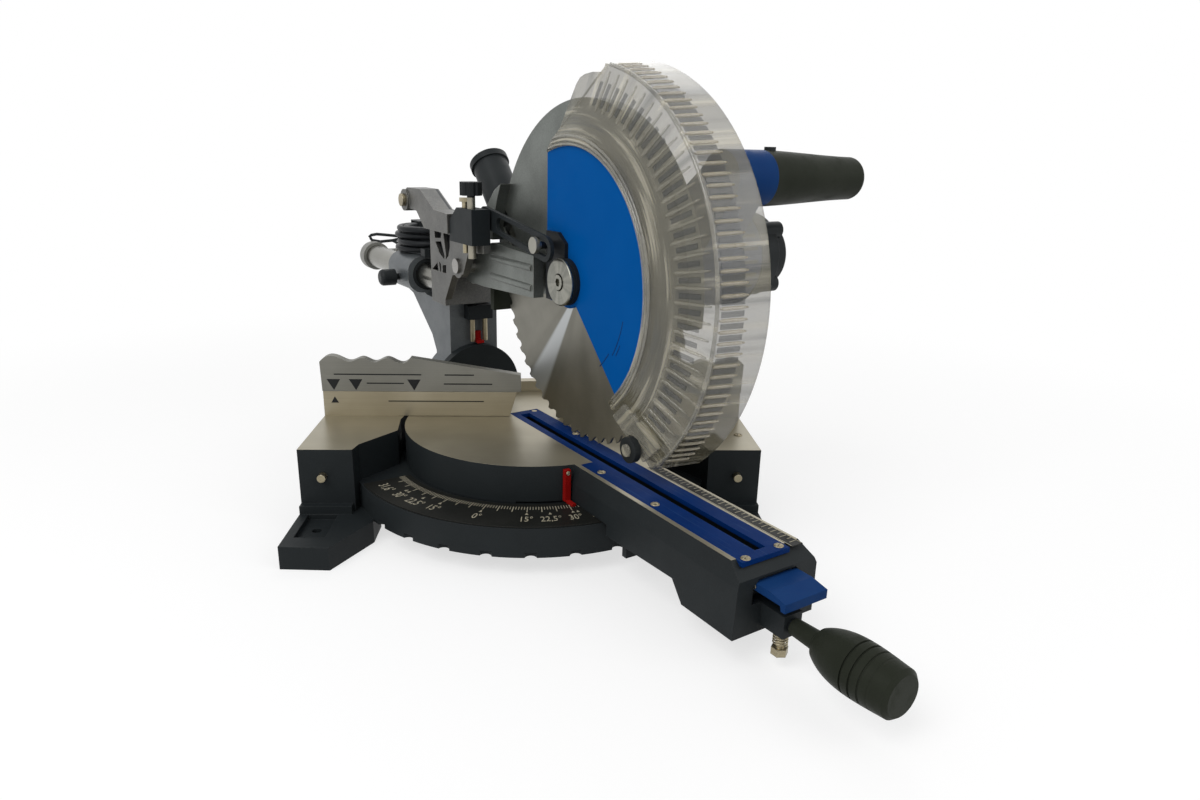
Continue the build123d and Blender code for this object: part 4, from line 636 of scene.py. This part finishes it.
def buildFence(work, sign):
    for near, far, z in fenceMarks["lines"]:
        bar(work, fencePoint(sign * near, z), fencePoint(sign * far, z), up, fenceMarks["lineWidth"], fenceFront)
    for x in fenceMarks["arrows"]:
        fenceArrow(work, sign * x, fenceMarks["arrow"])


def buildLowerFence(work):
    near, far, z = fenceMarks["lowerLine"]
    for sign in (-1, 1):
        bar(work, fencePoint(sign * near, z), fencePoint(sign * far, z), up, fenceMarks["lowerWidth"], fenceFront)
        fenceArrow(work, sign * fenceMarks["lowerArrowAt"], fenceMarks["lowerArrow"])


piece("fence_marks_left", "left_fence", "fenceInk", lambda work: buildFence(work, -1))
piece("fence_marks_right", "right_fence", "fenceInk", lambda work: buildFence(work, 1))
piece("fence_marks_lower", "base", "fenceInk", buildLowerFence)
print("fence and ruler marked")

# clear guard: ribs as radius and thickness, rim ribs as n and thickness, beads as radius, n and thickness
guard = {"u": 93, "z": 162, "ridge": 186, "ridgeN": -0.8, "cheekFall": 17.2 / 58, "rimRise": 5 / 48.8,
         "back": 57, "bottom": 17, "cutStart": 276, "cutFrom": 274, "cutSlope": 67 / 69,
         "from": -40, "to": 100, "pitch": 4.2, "ribs": ((149, 0.8), (152, 1.9), (163, 1.2), (175, 1.1), (181, 0.8)),
         "shadeStrip": (153, 172, 4.2), "shadeStripThick": 0.25,
         "rimFrom": -46, "rimPitch": 2.8, "rimReach": 187, "rimRibs": ((2, 0.8), (5, 1.5), (22, 1.4), (27, 0.7)),
         "rimShadeStrip": (3, 24, 4.4),
         "beads": ((119.6, -18.6, 1.5), (122.9, -19.1, 1.5), (126.2, -19.2, 1.4), (186, -0.9, 1.7)),
         "beadSweep": (-49, 120, 1.5), "sides": 8,
         "flap": ((75.2, 294.8), (79.5, 312), (84.5, 331), (88, 336.2), (95, 338.8), (106, 339.8), (118, 339.2),
                  (104, 324.5), (90, 310)), "flapThick": 2.2}


def wheelPoint(wheel, angle, radius, n):  # a point about a wheel's centre
    return armPoint(wheel["u"] + radius * math.cos(math.radians(angle)), n,
                    wheel["z"] + radius * math.sin(math.radians(angle)))


def outwardAt(wheel, angle):
    return (wheelPoint(wheel, angle, 2, 0) - wheelPoint(wheel, angle, 1, 0)).normalized()


def onGuard(angle, radius):  # inside the guard's cut edges
    u = guard["u"] + radius * math.cos(math.radians(angle))
    z = guard["z"] + radius * math.sin(math.radians(angle))
    past = u - guard["back"]
    return past > 0 and z > guard["bottom"] and (
        z < guard["cutStart"] or past > (z - guard["cutFrom"]) * guard["cutSlope"])


def cheekAt(radius):  # the cheek's outer face
    return guard["ridgeN"] - (guard["ridge"] - radius) * guard["cheekFall"]


def rimAt(n):  # the rim's outer face
    return guard["ridge"] + (n - guard["ridgeN"]) * guard["rimRise"]


def spread(start, end, step):
    return [start + step * i for i in range(int((end - start) / step) + 1)]


def buildCheekRibs(work):
    for angle in spread(guard["from"], guard["to"], guard["pitch"]):
        if onGuard(angle, guard["ribs"][-1][0]):
            path = [wheelPoint(guard, angle, radius, cheekAt(radius) - 0.1) for radius, size in guard["ribs"]]
            tube(work, path, [size for radius, size in guard["ribs"]], guard["sides"])


def buildCheekShadeStrips(work):  # painted shade: dark strips between the ribs
    low, high, wide = guard["shadeStrip"]
    for angle in spread(guard["from"] + guard["pitch"] / 2, guard["to"], guard["pitch"]):
        if onGuard(angle, high):
            start, end = (wheelPoint(guard, angle, radius, cheekAt(radius) - 0.05) for radius in (low, high))
            side = wheelPoint(guard, angle + 1, 160, 0) - wheelPoint(guard, angle - 1, 160, 0)
            bar(work, start, end, side, wide, right * -guard["shadeStripThick"])


def buildRimRibs(work):
    for angle in spread(guard["rimFrom"], guard["to"], guard["rimPitch"]):
        if onGuard(angle, guard["rimReach"]):
            path = [wheelPoint(guard, angle, rimAt(n) + 0.1, n) for n, size in guard["rimRibs"]]
            tube(work, path, [size for n, size in guard["rimRibs"]], guard["sides"])


# painted shade: dark strips between the rim ribs
def buildRimShadeStrips(work):
    low, high, wide = guard["rimShadeStrip"]
    for angle in spread(guard["rimFrom"] + guard["rimPitch"] / 2, guard["to"], guard["rimPitch"]):
        if onGuard(angle, guard["rimReach"]):
            start, end = (wheelPoint(guard, angle, rimAt(n) + 0.05, n) for n in (low, high))
            out = outwardAt(guard, angle)
            bar(work, start, end, out.cross(right), wide, out * guard["shadeStripThick"])


def buildBeads(work):
    for radius, n, thick in guard["beads"]:
        path = [wheelPoint(guard, angle, radius, n) for angle in spread(*guard["beadSweep"])
                if onGuard(angle, radius)]
        tube(work, path, thick, guard["sides"])


def buildFlap(work):  # the clear cheek's corner over the upper guard
    outline = []
    for u, z in guard["flap"]:
        outline.append(armPoint(u, cheekAt(math.hypot(u - guard["u"], z - guard["z"])), z))
    prism(work, outline, right * guard["flapThick"] * mm)


piece("guard_cheek_ribs", "guard", "clearRibPaintedHighlight", buildCheekRibs, True)
piece("guard_cheek_painted_shade", "guard", "clearPaintedShade", buildCheekShadeStrips)
piece("guard_rim_ribs", "guard", "rimRibPaintedHighlight", buildRimRibs, True)
piece("guard_rim_painted_shade", "guard", "clearPaintedShade", buildRimShadeStrips)
piece("guard_beads", "guard", "clearBead", buildBeads, True)
piece("guard_flap", "guard", "clearShell", buildFlap)

# fine grooves in the blue plate: radius, first and last angle
grooves = {"arcs": ((91, -13, -35), (86.5, -37, -50), (95, -26, -33)), "n": -16.8, "radius": 0.55, "steps": 10}


def buildGrooves(work):
    for radius, start, end in grooves["arcs"]:
        angles = [start + (end - start) * i / grooves["steps"] for i in range(grooves["steps"] + 1)]
        tube(work, [wheelPoint(guard, angle, radius, grooves["n"]) for angle in angles], grooves["radius"],
             guard["sides"])


piece("plate_grooves", "guard", "blueDeep", buildGrooves, True)
print("guard ribbed")

# screw heads, each size a radius and a height
screws = {"insert": ((348, -20), (346, 15), (240, -20), (160, -20), (60, 14.5)), "insertTop": -0.1,
          "insertSize": (3.9, 1.1), "wing": (209.2, -47.7, 85.0), "wingSize": (4.4, 1.4),
          "pointer": (134.5, -39.5, -6.0), "pointerSize": (2.1, 1.1)}


def buildInsertScrews(work):
    for u, n in screws["insert"]:
        dome(work, armPoint(u, n, screws["insertTop"]), up, *screws["insertSize"])


def buildWingScrew(work):
    dome(work, Vector(screws["wing"]) * mm, up, *screws["wingSize"])


def buildPointerScrew(work):
    dome(work, armPoint(*screws["pointer"]), forward, *screws["pointerSize"])


piece("insert_screw_heads", "turntable", "zinc", buildInsertScrews)
piece("wing_screw", "base", "zinc", buildWingScrew)
piece("pointer_screw", "turntable", "zinc", buildPointerScrew)

# dark plate inside the arm's end, behind the thumb lever
liner = {"u": 344, "outline": ((-24, -40), (29, -40), (29, -14), (24, -7), (-19, -7), (-24, -14)), "thick": 1.5}


def buildLiner(work):
    prism(work, [armPoint(liner["u"], n, z) for n, z in liner["outline"]], forward * liner["thick"] * mm)


piece("arm_liner", "turntable", "blackPowder", buildLiner)

# carrying loop behind the rails' rear cap
bail = {"loop": ((-437, -24, 148), (-437, -22, 145), (-437, -10, 142.6), (-437, 8, 143.6), (-437, 19, 145.6),
                 (-438, 21, 147.4), (-439, 17, 149.2), (-440, 0, 151.4), (-440, -14, 153), (-439, -22, 152),
                 (-438, -25, 150)),
        "legs": (((-437.5, -10, 142.6), (-433, -12, 141), (-424, -14, 139)),
                 ((-437.5, 8, 143.6), (-433, 11, 141.6), (-424, 13, 139))),
        "radius": 2.1}


def buildBail(work):
    tube(work, [armPoint(*point) for point in bail["loop"]], bail["radius"], closed=True)
    for leg in bail["legs"]:
        tube(work, [armPoint(*point) for point in leg], bail["radius"])


piece("rail_bail", "carriage", "blackPlastic", buildBail, True)

# air slots and a ring on the motor
motor = {"u": 128, "z": 182, "slots": (118, 138), "slotSweep": (-75, 60, 15), "slotFoot": 45.6, "slotWidth": 3.2,
         "slotThick": 1.0, "ringRadius": 45.7, "ringN": 145, "ringThick": 1.2, "ringStep": 6, "ringSides": 8}


def buildLouvres(work):
    for angle in spread(*motor["slotSweep"]):
        out = outwardAt(motor, angle)
        start, end = (wheelPoint(motor, angle, motor["slotFoot"], n) for n in motor["slots"])
        bar(work, start, end, out.cross(right), motor["slotWidth"], out * motor["slotThick"])


def buildMotorRing(work):
    path = [wheelPoint(motor, angle, motor["ringRadius"], motor["ringN"])
            for angle in range(0, 360, motor["ringStep"])]
    tube(work, path, motor["ringThick"], motor["ringSides"], True)


piece("motor_louvres", "head", "blackPlastic", buildLouvres)
piece("motor_ring", "head", "blackPlastic", buildMotorRing, True)
print("small parts set")

# supply cord, wound on the rail housing, and its sleeve at the clip
lead = {"radius": 3.6, "inner": 30.0, "pitch": 8.0, "u": -266.0, "z": 153.8, "pointsPerTurn": 16, "length": 2.027,
        "sleeve": 26.0, "sleeveStart": 5.4, "sleeveEnd": 4.1, "sleeveRib": 0.35, "sleeveSides": 16}


def coilPoint(x, y, h):
    return armPoint(lead["u"] + x, y, lead["z"] + h)


def cordRoute():
    middle = lead["inner"] + lead["pitch"]
    outer = middle + lead["pitch"]
    points = [(outer, -18, 0), (outer, -9, 0)]

    def halfTurn(start, end, low, high):  # from x = start round to x = end, the side given by the sign
        centre = (start + end) / 2
        radius = (start - end) / 2
        side = 1 if start > end else -1
        steps = lead["pointsPerTurn"] // 2
        for i in range(steps):
            share = (i + 0.5) / steps
            angle = math.pi * share
            points.append((centre + radius * math.cos(angle), abs(radius) * math.sin(angle) * side,
                           low + (high - low) * share))

    halfTurn(outer, -outer, 0, 0)
    for h in (0, 2 * lead["pitch"]):
        above = h + lead["pitch"]
        halfTurn(-outer, middle, h, h)
        halfTurn(middle, -middle, h, h)
        halfTurn(-middle, lead["inner"], h, h)
        halfTurn(lead["inner"], -lead["inner"], h, above)
        halfTurn(-lead["inner"], middle, above, above)
        halfTurn(middle, -middle, above, above)
        halfTurn(-middle, outer, above, above)
        if h == 0:
            halfTurn(outer, -outer, above, above + lead["pitch"])
    points.extend([(outer, 20, 24), (outer, 55, 24), (outer, 75, 24), (outer, 75, 4), (outer, 75, -6)])
    return points


def cordSleeve(path):  # tapered and ribbed, along the cord's first stretch
    covered = [path[0]]
    travel = 0.0
    for point in path[1:]:
        travel += (point - covered[-1]).length / mm
        if travel < lead["sleeve"]:
            covered.append(point)
    taper = (lead["sleeveEnd"] - lead["sleeveStart"]) / (len(covered) - 1)
    sizes = [lead["sleeveStart"] + taper * i - (lead["sleeveRib"] if i % 2 else 0) for i in range(len(covered))]
    piece("cord_sleeve", "column", "gripRubber",
          lambda work: tube(work, covered, sizes, lead["sleeveSides"]), True)


def cordPiece():
    data = bpy.data.curves.new("supply_cord", "CURVE")
    data.dimensions = "3D"
    data.resolution_u = 6
    spline = data.splines.new("NURBS")
    route = cordRoute()
    spline.points.add(len(route) - 1)
    for point, place in zip(spline.points, route):
        point.co = (*coilPoint(*place), 1)
    spline.order_u = 3
    spline.use_endpoint_u = True
    cord = bpy.data.objects.new("supply_cord", data)
    scene.collection.objects.link(cord)
    line = bpy.data.meshes.new_from_object(cord.evaluated_get(bpy.context.evaluated_depsgraph_get()))
    path = [point.co.copy() for point in line.vertices]
    bpy.data.meshes.remove(line)
    data.bevel_depth = lead["radius"] * mm
    data.bevel_resolution = 4
    data.use_fill_caps = True
    data.materials.append(finishes["cordRubber"])
    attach(cord, "column")
    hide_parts("cord_coil")
    cordSleeve(path)
    tuple(coilPoint(*route[0]))


cordPiece()
print("cord wound")

# floor, light and background: each lamp a place, a size and a power
studio = {"floor": 6.0, "near": 0.55, "far": 1.2, "paper": (tone(0.72, 0.72, 0.72), tone(0.76, 0.76, 0.76)),
          "shadow": tone(0.42, 0.42, 0.42), "glow": 0.66, "white": tone(1, 1, 1), "world": 0.4,
          "lamps": {"key": ((-0.9, -1.3, 1.7), 1.3, 20.0), "fill": ((1.4, -0.9, 1.1), 1.2, 6.0),
                    "back": ((0.3, 1.4, 1.5), 1.2, 6.0)},
          "aim": (0.05, 0, 0.2)}


def floorFinish():  # white where it is seen, with the saw's shadow kept near it
    f = Finish("floorPaper")
    place = f.place()
    away = (f.along(place, across) ** 2.0 + f.along(place, (0, 1, 0)) ** 2.0) ** 0.5
    fade = f.step(away, studio["near"], studio["far"])
    paper = f.node("ShaderNodeBsdfDiffuse", None, {"Color": f.blend(f.grain(3, 2), *studio["paper"])})
    shaded = f.node("ShaderNodeBsdfDiffuse", None, {"Color": studio["shadow"]})
    glow = f.node("ShaderNodeEmission", None, {"Color": studio["white"], "Strength": studio["glow"]})
    white = f.node("ShaderNodeEmission", None, {"Color": studio["white"], "Strength": 1.0})
    sheet = f.node("ShaderNodeAddShader", None, {0: shaded, 1: glow})
    sheet = f.node("ShaderNodeMixShader", None, {0: fade, 1: sheet, 2: white})
    surface = f.node("ShaderNodeMixShader", None, {0: f.seen(), 1: paper, 2: sheet})
    f.node("ShaderNodeOutputMaterial", None, {"Surface": surface})
    return f.owner


def worldFinish():
    f = Finish("studio", bpy.data.worlds.new("studio"))
    strength = f.node("ShaderNodeMapRange", None, {"Value": f.seen(), "To Min": studio["world"], "To Max": 1.0})
    sky = f.node("ShaderNodeBackground", None, {"Color": studio["white"], "Strength": strength})
    f.node("ShaderNodeOutputWorld", None, {"Surface": sky})
    return f.owner


def setStudio():
    work = bmesh.new()
    bmesh.ops.create_grid(work, x_segments=1, y_segments=1, size=studio["floor"])
    mesh = bpy.data.meshes.new("floor")
    work.to_mesh(mesh)
    work.free()
    floor = bpy.data.objects.new("floor", mesh)
    mesh.materials.append(floorFinish())
    scene.collection.objects.link(floor)
    for name, (place, size, power) in studio["lamps"].items():
        light = bpy.data.lights.new(name, "AREA")
        light.energy = power
        light.size = size
        lamp = bpy.data.objects.new(name, light)
        lamp.location = place
        toSaw = Vector(studio["aim"]) - Vector(place)
        lamp.rotation_euler = toSaw.to_track_quat("-Z", "Y").to_euler()
        scene.collection.objects.link(lamp)
    scene.world = worldFinish()
    scene.view_settings.view_transform = "Standard"


setStudio()
print("studio lit")
